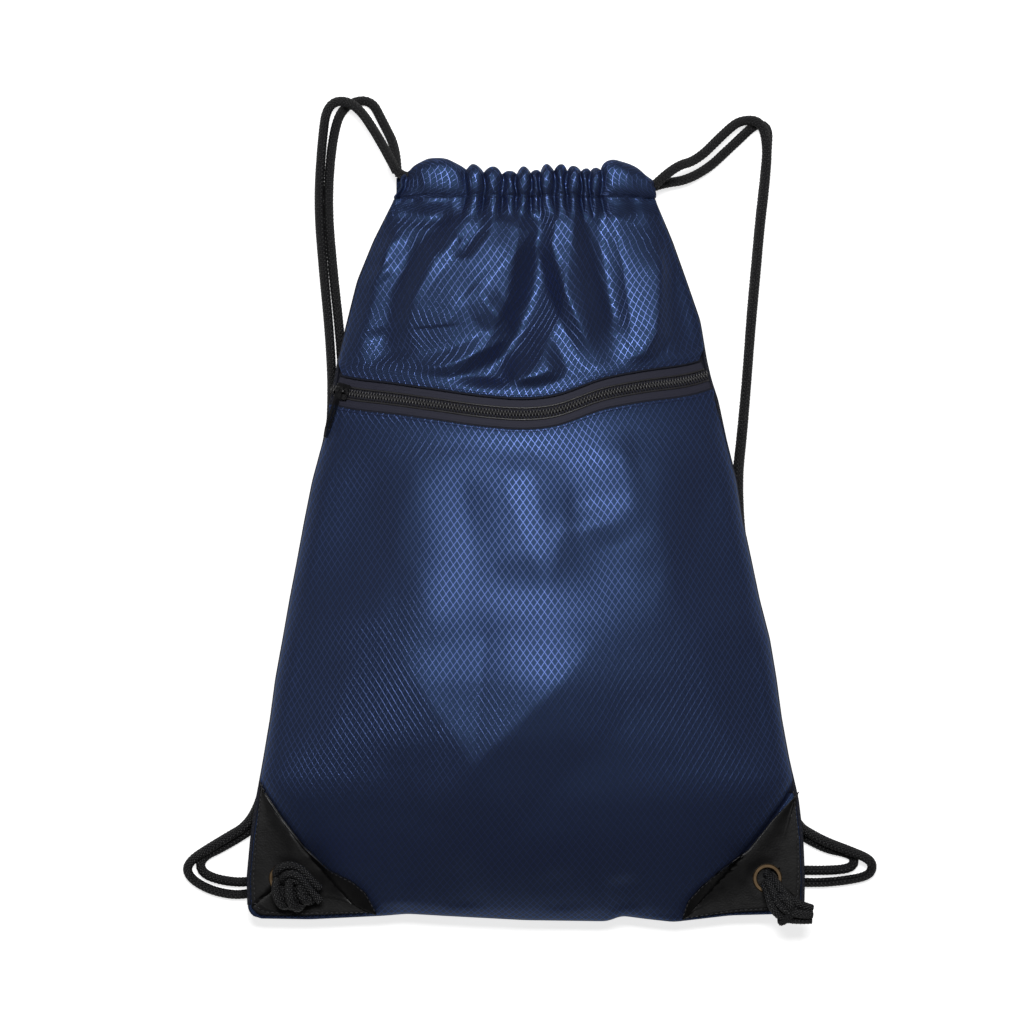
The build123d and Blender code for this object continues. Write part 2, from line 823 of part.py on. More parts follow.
# ---------------------------------------------------------------- knots
# Each side's two ends are tied into one knot in front of its eyelet, and stick out as cut ends.
knot_middle = knot_base + knot_cord
knot_high = knot_middle + knot_lean
knot_low = knot_middle - knot_drop
knot_centres = {"left": (-141.0, -211.0), "right": (150.0, -214.0)}
knot_tails = {
    "left": [
        [(-141, -203, knot_middle), (-129, -207, knot_high), (-123.5, -210, knot_low)],
        [(-139, -219, knot_middle), (-130, -219.5, knot_high), (-124.5, -217, knot_low)],
    ],
    "right": [
        [(151, -206, knot_middle), (163, -214, knot_high), (172.5, -220, knot_low)],
        [(148, -222, knot_middle), (160, -228, knot_middle), (172, -228.5, knot_low)],
    ],
}
knots = {}
for name, (x, y) in knot_centres.items():
    with BuildPart() as knot:
        with Locations((x, y, knot_middle)):
            Torus(knot_ring, knot_cord)
            Cylinder(knot_ring, knot_cord)
        for points in knot_tails[name]:
            with BuildLine() as route:
                FilletPolyline(*points, radius=corner_radii(points))
            with BuildSketch(Plane(origin=route.line @ 0, z_dir=route.line % 0)):
                Circle(cord_radius)
            sweep()
    knots[name] = knot

# ---------------------------------------------------------------- export
pieces = {
    "front_upper_panel": front_upper_panel,
    "front_lower_panel": front_lower_panel,
    "back_panel": back_panel,
    "front_casing": front_casing,
    "back_casing": back_casing,
    "pocket_lining": pocket_lining,
    "zip_tape_upper": zip_tape_upper,
    "zip_tape_lower": zip_tape_lower,
    "upper_zip_hem": upper_zip_hem,
    "lower_zip_hem": lower_zip_hem,
    "zip_coil_upper": zip_coil_upper,
    "zip_coil_lower": zip_coil_lower,
    "slider_body": slider_body,
    "slider_bridge": slider_bridge,
    "puller_tab": puller_tab,
}
pieces.update(patches)
pieces.update(strands)
for name in sides:
    pieces[f"{name}_seam_binding"] = bindings[name]
    pieces[f"{name}_eyelet"] = eyelets[name]
    pieces[f"{name}_eyelet_washer"] = washers[name]
    pieces[f"{name}_cord_casing_run"] = casing_runs[name]
    pieces[f"{name}_knot"] = knots[name]
for name, piece in pieces.items():
    piece.part.label = name
    export_step(piece.part, f"parts/{name}.step")
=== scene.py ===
import json
import math

import bmesh
import bpy
import numpy as np
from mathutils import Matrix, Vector

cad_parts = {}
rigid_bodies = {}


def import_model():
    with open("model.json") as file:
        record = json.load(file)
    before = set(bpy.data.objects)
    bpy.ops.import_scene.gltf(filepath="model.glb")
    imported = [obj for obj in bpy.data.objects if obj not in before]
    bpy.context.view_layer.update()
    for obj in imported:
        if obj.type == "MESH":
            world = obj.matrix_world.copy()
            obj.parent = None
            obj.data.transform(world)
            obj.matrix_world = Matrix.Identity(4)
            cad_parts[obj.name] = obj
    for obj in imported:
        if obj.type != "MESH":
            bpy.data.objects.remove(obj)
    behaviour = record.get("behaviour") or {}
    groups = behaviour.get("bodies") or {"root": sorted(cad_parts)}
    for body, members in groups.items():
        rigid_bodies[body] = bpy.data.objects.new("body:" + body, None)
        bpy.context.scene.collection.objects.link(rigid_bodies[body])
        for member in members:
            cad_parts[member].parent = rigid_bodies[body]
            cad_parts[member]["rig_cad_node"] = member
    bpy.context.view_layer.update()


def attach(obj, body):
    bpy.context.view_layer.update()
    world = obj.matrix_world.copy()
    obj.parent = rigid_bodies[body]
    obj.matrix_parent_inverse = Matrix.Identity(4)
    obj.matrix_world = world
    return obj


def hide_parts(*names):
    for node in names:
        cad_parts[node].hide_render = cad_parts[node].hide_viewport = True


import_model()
mm = 0.001
print("frame loaded")


def softLine(points, softness=5, fineStep=0.5):
    # a function through given (place, value) points, softened over a few millimetres
    places, values = np.array(points, float).T
    fine = np.arange(places[0], places[-1], fineStep)
    rough = np.interp(fine, places, values)
    pad = max(1, int(softness / fineStep))
    before, after = 2 * rough[0] - rough[pad:0:-1], 2 * rough[-1] - rough[-2 : -pad - 2 : -1]
    window = np.hanning(2 * pad + 3)[1:-1]
    soft = np.convolve(np.concatenate([before, rough, after]), window / window.sum(), mode="valid")
    return lambda at: np.interp(at, fine, soft)


def smoothStep(low, high, value):
    share = np.clip((value - low) / (high - low), 0, 1)
    return share * share * (3 - 2 * share)


def quarterRound(share):
    # rises from 0 to 1 as a quarter of a circle does
    return np.sqrt(1 - (1 - np.clip(share, 0, 1)) ** 2)


def bell(away, reach):
    return np.exp(-((away / reach) ** 2))


def walked(line):
    # the distance from the start of a line to each of its points
    return np.concatenate([[0], np.cumsum(np.linalg.norm(np.diff(line, axis=0), axis=1))])


def evenPoints(line, count):
    line = np.array(line, float)
    lengths = walked(line)
    places = np.linspace(0, lengths[-1], count)
    return np.stack([np.interp(places, lengths, values) for values in line.T], -1)


def arcMap(points):
    # fabric coordinates in metres, from distances walked on the cloth itself
    u = np.array([walked(row) for row in points])
    v = np.array([walked(column) for column in points.swapaxes(0, 1)]).T
    return np.stack([u - u[:, u.shape[1] // 2][:, None], v], -1) * mm


def addObject(name, data):
    thing = bpy.data.objects.new(name, data)
    bpy.context.scene.collection.objects.link(thing)
    return thing


def meshPiece(name, points, faces):
    # points in mm become a smooth piece
    mesh = bpy.data.meshes.new(name)
    mesh.from_pydata((points * mm).tolist(), [], faces, shade_flat=False)
    return addObject(name, mesh)


def gridMesh(name, points, fabric=None, ring=False):
    # rows x columns x 3 points in mm become one sheet of quads, with its own fabric map
    fabric = arcMap(points) if fabric is None else fabric
    index = np.arange(points[..., 0].size).reshape(points.shape[:2])
    if ring:
        index = np.concatenate([index, index[:, :1]], axis=1)
        fabric = np.concatenate([fabric, fabric[:, :1]], axis=1)
    corners = ((at[:-1, :-1], at[:-1, 1:], at[1:, 1:], at[1:, :-1]) for at in (index, fabric))
    quads, maps = (np.stack(four, 2) for four in corners)
    piece = meshPiece(name, points.reshape(-1, 3), quads.reshape(-1, 4).tolist())
    piece.data.uv_layers.new(name="fabric").data.foreach_set("uv", maps.astype(np.float32).ravel())
    return piece


def selectOnly(*pieces):
    bpy.ops.object.select_all(action="DESELECT")
    for piece in pieces:
        piece.select_set(True)
    bpy.context.view_layer.objects.active = pieces[0]


def applyModifier(piece, kind, **settings):
    selectOnly(piece)
    modifier = piece.modifiers.new(kind, kind)
    for key, value in settings.items():
        setattr(modifier, key, value)
    bpy.ops.object.modifier_apply(modifier=modifier.name)


def thicken(piece, thickness, offset=-1.0):
    applyModifier(piece, "SOLIDIFY", thickness=thickness * mm, offset=offset)


def faceOut(piece, closeEnds=False):
    work = bmesh.new()
    work.from_mesh(piece.data)
    if closeEnds:
        openEdges = [edge for edge in work.edges if edge.is_boundary]
        bmesh.ops.holes_fill(work, edges=openEdges, sides=0)
    bmesh.ops.recalc_face_normals(work, faces=work.faces)
    work.to_mesh(piece.data)
    work.free()


def dress(piece, material):
    piece.data.materials.clear()
    piece.data.materials.append(material)


def place(piece, material, slot, *nodes):
    dress(piece, material)
    if nodes:
        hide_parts(*nodes)
    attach(piece, "bag")
    print(piece.name, len(piece.data.polygons))


def feed(tree, node, values):
    # each socket gets another node's output, or a plain value of its own
    for socket, value in values.items():
        if isinstance(value, bpy.types.NodeSocket):
            tree.links.new(value, node.inputs[socket])
        else:
            node.inputs[socket].default_value = (*value, 1) if isinstance(value, tuple) else value


def makeSurface(name, looks, *given, **settings):
    material = bpy.data.materials.new(name)
    material.use_nodes = True
    tree = material.node_tree
    feed(tree, tree.nodes["Principled BSDF"], looks(tree, *given, **settings))
    return material


def addNode(tree, kind, values, **settings):
    node = tree.nodes.new("ShaderNode" + kind)
    for key, value in settings.items():
        setattr(node, key, value)
    feed(tree, node, values)
    return node.outputs


def mathNode(tree, operation, *values, clamp=False):
    return addNode(tree, "Math", dict(enumerate(values)), operation=operation, use_clamp=clamp)[0]


def mixColour(tree, factor, first, second):
    return addNode(tree, "Mix", {0: factor, 6: first, 7: second}, data_type="RGBA")[2]


def spanNode(tree, value, low, high):
    return addNode(tree, "MapRange", {0: value, "To Min": low, "To Max": high})[0]


def bumpNode(tree, height, distance, strength=0.7):
    return addNode(tree, "Bump", {"Height": height, "Distance": distance, "Strength": strength})[0]


def waveNode(tree, value, pitch):
    return mathNode(tree, "SINE", mathNode(tree, "MULTIPLY", value, 2 * math.pi / pitch))


def crossedNodes(tree, first, second):
    return [mathNode(tree, operation, first, second) for operation in ("ADD", "SUBTRACT")]


def splitPlace(tree, kind, output, **settings):
    # the ways across and along a map
    return tuple(addNode(tree, "SeparateXYZ", {0: addNode(tree, kind, {}, **settings)[output]}))[:2]


nylon = {
    "ground": (0.0155, 0.0185, 0.041), "line": (0.078, 0.118, 0.3), "tint": (0.2, 0.46, 1),
    "specular": 0.75, "cellWidth": 0.0042, "cellHeight": 0.006, "lineShare": 0.085,
    "lineSoftness": 0.6, "lineRelief": 0.00012, "groundRoughness": 0.5, "lineRoughness": 0.29,
    "threadPitch": 0.0005, "threadRelief": 0.12,
}


def nylonLooks(tree):
    # diamond lattice woven into the cloth, on the fabric map in metres
    across, along = splitPlace(tree, "UVMap", 0, uv_map="fabric")
    column = mathNode(tree, "DIVIDE", across, nylon["cellWidth"])
    row = mathNode(tree, "DIVIDE", along, nylon["cellHeight"])
    distances = []
    for way in crossedNodes(tree, column, row):
        wave = mathNode(tree, "SUBTRACT", mathNode(tree, "FRACT", way), 0.5)
        distances.append(mathNode(tree, "ABSOLUTE", wave))
    rise = mathNode(tree, "SUBTRACT", mathNode(tree, "MAXIMUM", *distances), 0.5 - nylon["lineShare"])
    lines = mathNode(tree, "DIVIDE", rise, nylon["lineShare"] * nylon["lineSoftness"], clamp=True)
    weave = mathNode(tree, "MULTIPLY", *(waveNode(tree, way, nylon["threadPitch"]) for way in (across, along)))
    height = mathNode(tree, "ADD", lines, mathNode(tree, "MULTIPLY", weave, nylon["threadRelief"]))
    return {
        "Base Color": mixColour(tree, lines, nylon["ground"], nylon["line"]),
        "Metallic": lines,
        "Roughness": spanNode(tree, lines, nylon["groundRoughness"], nylon["lineRoughness"]),
        "Normal": bumpNode(tree, height, nylon["lineRelief"]),
        "Specular Tint": nylon["tint"],
        "Specular IOR Level": nylon["specular"],
    }


cloudy = {"dark": 0.7, "light": 1.35, "smoother": 0.08, "rougher": 0.1, "size": 6, "detail": 5, "relief": 1.5}


def cloudyLooks(tree, colour, roughness, grain, relief=0, metallic=0.0, specular=0.5):
    # leather, plastic or metal with an uneven tone and a fine grain, on object coordinates
    where = addNode(tree, "TexCoord", {})["Object"]
    noise = {"Scale": grain / cloudy["size"], "Detail": cloudy["detail"], "Vector": where}
    cloud = addNode(tree, "TexNoise", noise)[0]
    dark = tuple(value * cloudy["dark"] for value in colour)
    light = tuple(min(1, value * cloudy["light"]) for value in colour)
    looks = {
        "Base Color": mixColour(tree, cloud, dark, light),
        "Roughness": spanNode(tree, cloud, roughness - cloudy["smoother"], roughness + cloudy["rougher"]),
        "Metallic": metallic,
        "Specular IOR Level": specular,
    }
    if relief:
        cells = addNode(tree, "TexVoronoi", {"Scale": grain, "Vector": where})["Distance"]
        looks["Normal"] = bumpNode(tree, mathNode(tree, "MULTIPLY_ADD", cloud, cloudy["relief"], cells), relief)
    return looks


def wovenLooks(tree, colour, light, pitch, roughness=0.7, relief=0.0001, specular=0.35):
    # plain tape weave, on object coordinates
    waves = (waveNode(tree, way, pitch) for way in splitPlace(tree, "TexCoord", "Object"))
    weave = mathNode(tree, "MULTIPLY_ADD", mathNode(tree, "MULTIPLY", *waves), 0.5, 0.5)
    return {
        "Base Color": mixColour(tree, weave, colour, light),
        "Normal": bumpNode(tree, weave, relief),
        "Roughness": roughness,
        "Specular IOR Level": specular,
    }


# dark is the cord's own black, light is a painted highlight on the crowns of the strands
braid = {
    "dark": (0.003, 0.003, 0.0035), "light": (0.013, 0.013, 0.015), "pitch": 0.0024, "strands": 8,
    "relief": 0.0005, "bump": 0.9, "roughness": 0.5, "specular": 0.4,
}


def braidLooks(tree):
    # tight black braid on the cord's own map: once around, then along in metres. The dark colour is the cord's
    # own black; the light colour is a painted highlight on the strands' crowns, so the grooves between them
    # read as painted shade
    around, along = splitPlace(tree, "UVMap", 0, uv_map="fabric")
    turn = mathNode(tree, "MULTIPLY", around, braid["strands"])
    run = mathNode(tree, "DIVIDE", along, braid["pitch"])
    waves = (mathNode(tree, "ABSOLUTE", waveNode(tree, way, 2)) for way in crossedNodes(tree, run, turn))
    weave = mathNode(tree, "MULTIPLY", *waves)
    return {
        "Base Color": mixColour(tree, weave, braid["dark"], braid["light"]),
        "Normal": bumpNode(tree, weave, braid["relief"], braid["bump"]),
        "Roughness": braid["roughness"],
        "Specular IOR Level": braid["specular"],
    }


navyNylon = makeSurface("NavyDiamondNylon", nylonLooks)
tapeCloth = makeSurface("ZipTapeWeave", wovenLooks, (0.013, 0.0135, 0.025), (0.034, 0.034, 0.058), 0.0007)
bindingCloth = makeSurface("NavyBinding", wovenLooks, (0.004, 0.005, 0.011), (0.010, 0.012, 0.026), 0.0006)
blackBraid = makeSurface("BlackBraid", braidLooks)
blackLeather = makeSurface(
    "BlackLeather", cloudyLooks, (0.0030, 0.0029, 0.0032), 0.38, 900, relief=0.00006, specular=0.36
)
coilNylon = makeSurface("CoilNylon", cloudyLooks, (0.030, 0.029, 0.031), 0.34, 900)
blackMetal = makeSurface("BlackPaintedMetal", cloudyLooks, (0.008, 0.008, 0.009), 0.30, 900)
agedBrass = makeSurface("AgedBrass", cloudyLooks, (0.17, 0.115, 0.065), 0.42, 1200, metallic=1.0)
threadNavy = makeSurface("NavyThread", wovenLooks, (0.010, 0.016, 0.060), (0.035, 0.046, 0.130), 0.0004, 0.6)
threadGrey = makeSurface("GreyThread", wovenLooks, (0.020, 0.020, 0.023), (0.075, 0.075, 0.080), 0.0004, 0.55)
print("materials made")

# the zipper's circle, as the slider travels it
zipPath = {
    "halfSpan": 112, "sag": 17, "bulge": 30, "centreX": -2, "lowY": 78.5, "apex": 53.2,
    "slope": 7, "turn": 2.3, "strayWay": (0, 1, -0.12),
}
turnAngle, slopeAngle = math.radians(zipPath["turn"]), math.radians(zipPath["slope"])
turnMatrix = np.array(
    [[math.cos(turnAngle), -math.sin(turnAngle), 0], [math.sin(turnAngle), math.cos(turnAngle), 0], [0, 0, 1]]
)
sagitta = math.hypot(zipPath["sag"], zipPath["bulge"])
zipRadius = (zipPath["halfSpan"] ** 2 + sagitta**2) / (2 * sagitta)
zipEnd = math.asin(zipPath["halfSpan"] / zipRadius)
alongDir = turnMatrix @ np.array([1.0, 0, 0])
sagShare, bulgeShare = zipPath["sag"] / sagitta, zipPath["bulge"] / sagitta
outDir = turnMatrix @ np.array([0, -sagShare, bulgeShare])
axisDir = turnMatrix @ np.array([0, bulgeShare, sagShare])
acrossDir = turnMatrix @ np.array([0, math.cos(slopeAngle), -math.sin(slopeAngle)])
acrossRadial, acrossAxial = acrossDir @ outDir, acrossDir @ axisDir
zipCentre = np.array([zipPath["centreX"], zipPath["lowY"], zipPath["apex"]]) - outDir * zipRadius

# how far the soft tape strays from the circle between its ends, by place along it
zipStray = softLine([
    (-140, 0), (-104, 0.1), (-92, 1.5), (-78, 2.4), (-52, 1.8), (-25, -0.8), (-3, -2.9), (12, -2.8),
    (21, -1.8), (33, 1.5), (45, 4.6), (60, 5), (77, 4), (92, 1.6), (102, 0.2), (140, 0),
], 14)


def onZip(angle, across, out):
    # points in mm at an angle along the zipper, so far across the tape and so far out of it
    angle = np.asarray(angle, float)[..., None]
    radial = outDir * np.cos(angle) + alongDir * np.sin(angle)
    widthDir = radial * acrossRadial + axisDir * acrossAxial
    normal = radial * acrossAxial - axisDir * acrossRadial
    spot = zipCentre + radial * zipRadius + widthDir * np.asarray(across)[..., None]
    spot = spot + normal * np.asarray(out)[..., None]
    return spot + np.array(zipPath["strayWay"]) * zipStray(spot[..., :1])


body = {
    "seam": 18, "bottom": -231, "halfWidth": 168, "cornerRound": 8, "flange": 14,
    "flangeTop": -155, "bottomRun": 94, "hemReach": 9.3, "hemOut": 2.1, "hemRoll": 9,
    "hemDrop": 0.6, "lowerHem": 1.004, "upperHem": 0.985, "cloth": 0.9,
}
leftEdge = softLine([
    (-232, -168), (-205, -168.8), (-181, -166.6), (-157, -163.2), (-133, -158.8), (-108, -154.6),
    (-84, -151.4), (-60, -147), (-36, -142.8), (-12, -138.2), (12, -133.8), (36, -129), (60, -122.5),
    (85, -118.2), (97, -115.8), (109, -113.6), (133, -107.8), (157, -101.8), (181, -92), (206, -79.4),
    (232, -75),
])
rightEdge = softLine([
    (-232, 168.6), (-205, 169.2), (-181, 168.2), (-157, 165.4), (-133, 159.8), (-108, 155.2), (-84, 152),
    (-60, 148), (-36, 141.8), (-12, 136.8), (12, 131.6), (36, 128), (60, 121.9), (85, 116.6), (97, 112.6),
    (109, 109.8), (133, 105.8), (157, 97.5), (181, 89), (206, 78.4), (232, 76),
])
sides = {"left": (leftEdge, -1), "right": (rightEdge, 1)}
crownLine = softLine([
    (-232, 20.5), (-226, 27), (-216, 38), (-200, 49), (-180, 58), (-155, 64), (-119, 69.5), (-83, 71.6),
    (-47, 70.6), (-11, 67.6), (25, 63), (61, 57.6), (97, 51.5), (133, 46.3), (169, 40.6), (206, 36),
    (232, 35),
], 12)
wallLine = softLine([
    (-232, 1), (-205, 5), (-155, 10), (-119, 10.6), (-83, 11), (-47, 10.8), (-11, 9.8), (25, 8.8),
    (61, 7.4), (97, 6.2), (133, 5), (169, 4), (206, 3), (232, 3),
])
bottomLine = softLine([
    (-169, -229.5), (-137, -230), (-90, -227.8), (-75, -226.6), (-50, -228), (0, -230.5), (52, -231.2),
    (61, -227.8), (75, -229.6), (94, -231.6), (130, -227.6), (169, -226.6),
], 6)


def acrossBag(share, y, pull=0):
    # from a share of the width, -1 to 1, to a place across the bag
    return np.where(share > 0, share * (rightEdge(y) - pull), -share * (leftEdge(y) + pull))


def cornerPull(up):
    # how far the rounded bottom corners draw the sides in
    return body["cornerRound"] * (1 - quarterRound(up / body["cornerRound"]))


def pillowHalf(x, y):
    # half the width of the filled shape, which draws in towards the flat bottom
    edge = np.where(x > 0, rightEdge(y), -leftEdge(y))
    top = body["flangeTop"] + body["flange"]
    down = np.clip((top - y) / (top - body["bottom"]), 0, 1)
    share = 1.14 * down**2 / (down + 0.14)
    return edge + share * (body["bottomRun"] - edge)


def frontHeight(x, y):
    # the filled shape of the front, without its folds
    u = np.clip(np.abs(x) / pillowHalf(x, y), 0, 1)
    wall = wallLine(y)
    side = np.sqrt(np.clip(1 - u**14, 0, 1))
    dome = np.maximum(crownLine(y) - body["seam"] - wall, 0) * (1 - u**2)
    return body["seam"] + body["cloth"] + wall * side + dome


def tent(away, reach, tip, foot=0.12):
    # straight flanks that meet in a rounded tip and end in a rounded foot
    slope = 1 + tip - np.sqrt((away / reach) ** 2 + tip**2)
    return np.where(slope > foot, slope, foot * np.exp(np.minimum(slope - foot, 0) / foot))


def ridge(x, y, line, left, right, height, tip):
    # a crease along a line, with its own reach on the left and on the right of its way
    best = np.full(x.shape, 1e9)
    signed, share = np.zeros(x.shape), np.zeros(x.shape)
    points = np.array(line, float)
    runs = np.linalg.norm(np.diff(points, axis=0), axis=1)
    done = 0.0
    for (x0, y0), (x1, y1), run in zip(points, points[1:], runs):
        dx, dy = (x1 - x0) / run, (y1 - y0) / run
        along = np.clip((x - x0) * dx + (y - y0) * dy, 0, run)
        offX, offY = x - x0 - along * dx, y - y0 - along * dy
        away = np.hypot(offX, offY)
        closer = away < best
        best = np.where(closer, away, best)
        signed = np.where(closer, (dx * offY - dy * offX) / np.maximum(away, 0.01), signed)
        share = np.where(closer, (done + along) / runs.sum(), share)
        done += run
    reach = right + (left - right) * (0.5 + 0.5 * np.clip(signed, -1, 1))
    ends = smoothStep(-0.05, 0.3, share) * (1 - smoothStep(0.7, 1.03, share))
    return height * (0.06 + 0.94 * ends) * tent(best, reach, tip)


def wander(x, y, scale, seed):
    # slow uneven wander of the cloth, the same every run
    total = np.zeros_like(x)
    source = np.random.default_rng(seed)
    for octave in range(5):
        for _ in range(4):
            angle = source.uniform(0, math.pi)
            phase = source.uniform(0, 2 * math.pi)
            reach = scale / (1.6**octave)
            total += np.sin((x * math.cos(angle) + y * math.sin(angle)) / reach + phase) / (2.2**octave)
    return total / 4


def hemLine(share, reach):
    # x, y and z of the cloth's edge beside the zipper
    return onZip(np.arcsin(share * math.sin(zipEnd)), reach, body["hemOut"]).T


def sheetGrid(columns, rows):
    # shares across the cloth, -1 to 1, and up it, 0 to 1
    return np.meshgrid(np.linspace(-1, 1, columns), np.linspace(0, 1, rows))


# folds below the zipper: line, reach on its left and right, height, roundness of its tip
lowerFolds = [
    ([(-86, -54), (-66, -84), (-48, -110), (-31, -134), (-6, -110), (20, -86), (48, -54)], 50, 44, 5.4, 0.05),
    ([(24, 66), (27, 46), (35, 6)], 22, 16, -3.2, 0.6),
    ([(40, 70), (45, 40), (60, 0)], 16, 26, 2.2, 0.7),
    ([(-40, 52), (-38, 22), (-26, -8), (-10, -48)], 18, 28, -2.6, 0.7),
    ([(-64, 60), (-60, 20), (-50, -20), (-42, -60)], 32, 20, 2.2, 0.7),
    ([(-10, 52), (-4, 10), (2, -30)], 22, 20, 1.8, 0.7),
    ([(56, 50), (53, 8), (40, -50)], 24, 20, -2.4, 0.7),
    ([(86, 62), (78, 24), (68, -20)], 20, 28, 2.4, 0.6),
    ([(-62, -10), (-80, -80), (-96, -160)], 24, 44, 3.6, 0.5),
    ([(-96, 52), (-104, 10), (-118, -46)], 20, 16, -2.4, 0.6),
    ([(102, 52), (112, 4), (124, -50)], 16, 20, -2.4, 0.6),
    ([(-124, -50), (-132, -90), (-148, -132)], 16, 14, -2, 0.6),
    ([(126, -50), (134, -90), (150, -132)], 14, 16, -2, 0.6),
    ([(-42, -190), (-36, -228)], 12, 12, -2.2, 0.5),
    ([(18, -196), (24, -228)], 12, 12, -1.8, 0.5),
    ([(58, -200), (62, -229)], 9, 9, -2.8, 0.5),
    ([(-72, -200), (-78, -229)], 10, 10, 1.8, 0.5),
]
lower = {"hemShare": 0.9, "hemEase": 1.5, "sideCalm": 14, "bottomCalm": 10, "wander": (30, 3)}


def lowerSheet(columns, rows):
    s, v = sheetGrid(columns, rows)
    hem = hemLine(s[0] * body["lowerHem"], -body["hemReach"])
    low = bottomLine(s * body["halfWidth"])
    y = low * (1 - v) + hem[1] * v
    toHem = smoothStep(lower["hemShare"], 1, v) ** lower["hemEase"]
    x = acrossBag(s, y, cornerPull(y - low)) * (1 - toHem) + hem[0] * toHem
    inside = np.clip((pillowHalf(x, y) - np.abs(x)) / lower["sideCalm"], 0, 1)
    calm = smoothStep(0, lower["bottomCalm"], y - low) * (1 - toHem) * inside
    folds = sum(ridge(x, y, *fold) for fold in lowerFolds) + wander(x, y, *lower["wander"])
    z = frontHeight(x, y) + calm * folds
    # the bottom edge rolls under, down to the seam
    base = body["seam"] - body["hemDrop"]
    z = base + (z - base) * quarterRound((y - low) / body["hemRoll"])
    z = z * (1 - toHem) + hem[2] * toHem
    return gridMesh("front_lower_cloth", np.stack([x, y, z], -1))


frontLower = lowerSheet(230, 205)
thicken(frontLower, body["cloth"])
place(frontLower, navyNylon, "navy_nylon", "front_lower_panel", "lower_zip_hem")

# the upper front and its gathered casing are one sheet that folds over the drawstrings
casing = {
    "stitchY": 207, "middle": 6.4, "arch": 5.3, "halfLength": 76, "thickness": 5.6,
    "swell": 2.6, "startAngle": -42, "endAngle": 235, "roundness": 0.75, "tuck": 1.5,
    "sewn": 4, "dentWidth": 2.2, "pleatFade": 40, "pleatDepth": 3.4, "pleatReach": 15,
    "levelReach": 16, "wander": (18, 5), "ripple": 0.7,
}
stitchY = casing["stitchY"]
# the gathers along the top: where each pinch lies, its height, the height of the lobe after it, its skew
gathers = [
    (-84, 214, 3, 1), (-76.5, 221, 8.6, 1), (-36.2, 224, 4.4, 1), (-25, 221.8, 4.4, 0.9),
    (-13.6, 221, 2.2, 1), (-5.7, 221, 4.6, 1.1), (3.3, 221.6, 2, 1), (8.8, 222, 5, 0.9),
    (17.5, 222.8, 4.6, 1), (25, 222.6, 3.6, 1), (33.5, 222.8, 2, 1), (39, 222.8, 2, 1),
    (46, 223.6, 8.6, 0.62), (79.5, 215.4, 1, 1), (88, 209, 0, 1),
]
pinch = np.array(gathers, float)
# the wider pleats that carry on down the front: place, length, width
pleatLines = [
    (-66, 14, 8), (-48, 26, 9), (-25, 20, 7), (-13, 30, 7), (4, 20, 6), (34, 34, 7), (44, 22, 6),
    (64, 18, 9),
]
# folds above the zipper: line, reach on its left and right, height, roundness of its tip
upperFolds = [
    ([(-20, 236), (-23, 209), (-35, 186), (-54, 170), (-67, 146), (-70, 127), (-63, 108)], 26, 13, 7, 0.1),
    ([(-66, 104), (-46, 105), (-25, 114), (-5, 125)], 9, 8, 3.4, 0.08),
    ([(15, 222), (11, 201), (1, 183), (-13, 166), (-34, 147), (-53, 124), (-61, 112)], 25, 22, 6.4, 0.08),
    ([(-28, 154), (-22, 140), (-4, 122)], 9, 11, 3, 0.1),
    ([(16, 236), (13, 200), (8, 168), (3, 140), (-8, 116), (-26, 95), (-46, 78)], 15, 12, -8.4, 0.3),
    ([(-14, 97), (6, 99), (24, 106)], 25, 8, 5, 0.12),
    ([(22, 238), (21.5, 209), (16, 178), (23, 152), (36, 122), (47, 102)], 21, 9, 7.2, 0.1),
    ([(60, 101), (70, 111), (79, 125), (82, 160), (83, 189)], 24, 8, 5.6, 0.1),
    ([(43, 214), (44, 190), (48, 162), (52, 134), (52, 108)], 9, 12, -4.6, 0.3),
    ([(-24, 206), (-29, 188), (-38, 177), (-48, 178)], 6, 7, -3.6, 0.35),
    ([(-80, 204), (-62, 198), (-44, 200)], 7, 8, -3.6, 0.35),
    ([(-13, 203), (1, 195), (13, 198)], 6, 7, -2.8, 0.35),
    ([(46, 206), (64, 197), (90, 190)], 10, 5, 2.2, 0.16),
    ([(-80, 196), (-92, 152), (-106, 104)], 14, 14, 3.2, 0.16),
    ([(-74, 186), (-86, 174), (-99, 172)], 5, 9, 2, 0.2),
    ([(-78, 168), (-92, 158), (-106, 156)], 5, 9, 1.8, 0.2),
    ([(-86, 130), (-80, 106)], 12, 12, -2.4, 0.5),
    ([(90, 182), (97, 140), (103, 108)], 11, 10, -3, 0.3),
]


def lobes(x):
    # for places along the top: the height of the edge and the swell of the cloth, from -1 to 1
    after = np.clip(np.searchsorted(pinch[:, 0], x), 1, len(pinch) - 1)
    low, high = pinch[after - 1], pinch[after]
    share = np.clip((x - low[:, 0]) / (high[:, 0] - low[:, 0]), 0, 1)
    bow = 1 - np.abs(2 * share ** low[:, 3] - 1) ** 2.3
    top = low[:, 1] * (1 - share) + high[:, 1] * share + low[:, 2] * bow
    return top, 2 * bow**0.8 - 1


def pleats(x, y):
    total = np.zeros_like(x)
    for middle, length, width in pleatLines:
        below = np.clip((stitchY - y) / length, 0, 1)
        lean = middle * (1 + 0.10 * below)
        total -= (1 - below) ** 1.3 * bell(x - lean, width * (0.45 + 0.4 * below))
    return total


def casingMiddle(x):
    # how far the casing's middle stands off the seam
    return casing["middle"] + casing["arch"] * (1 - (x / casing["halfLength"]) ** 2)


def nearStitch(y, reach):
    return smoothStep(stitchY - reach, stitchY, y)


def casingTurns(top, loopRows):
    # round the cords and down inside: each turn, its heights, and its share of the casing's depth
    halfHeight = (top - stitchY + casing["tuck"]) / 2
    for turn in np.radians(np.linspace(casing["startAngle"], casing["endAngle"], loopRows)):
        ways = math.sin(turn), math.cos(turn)
        up, out = (math.copysign(abs(value) ** casing["roundness"], value) for value in ways)
        yield turn, top - halfHeight + halfHeight * up, out


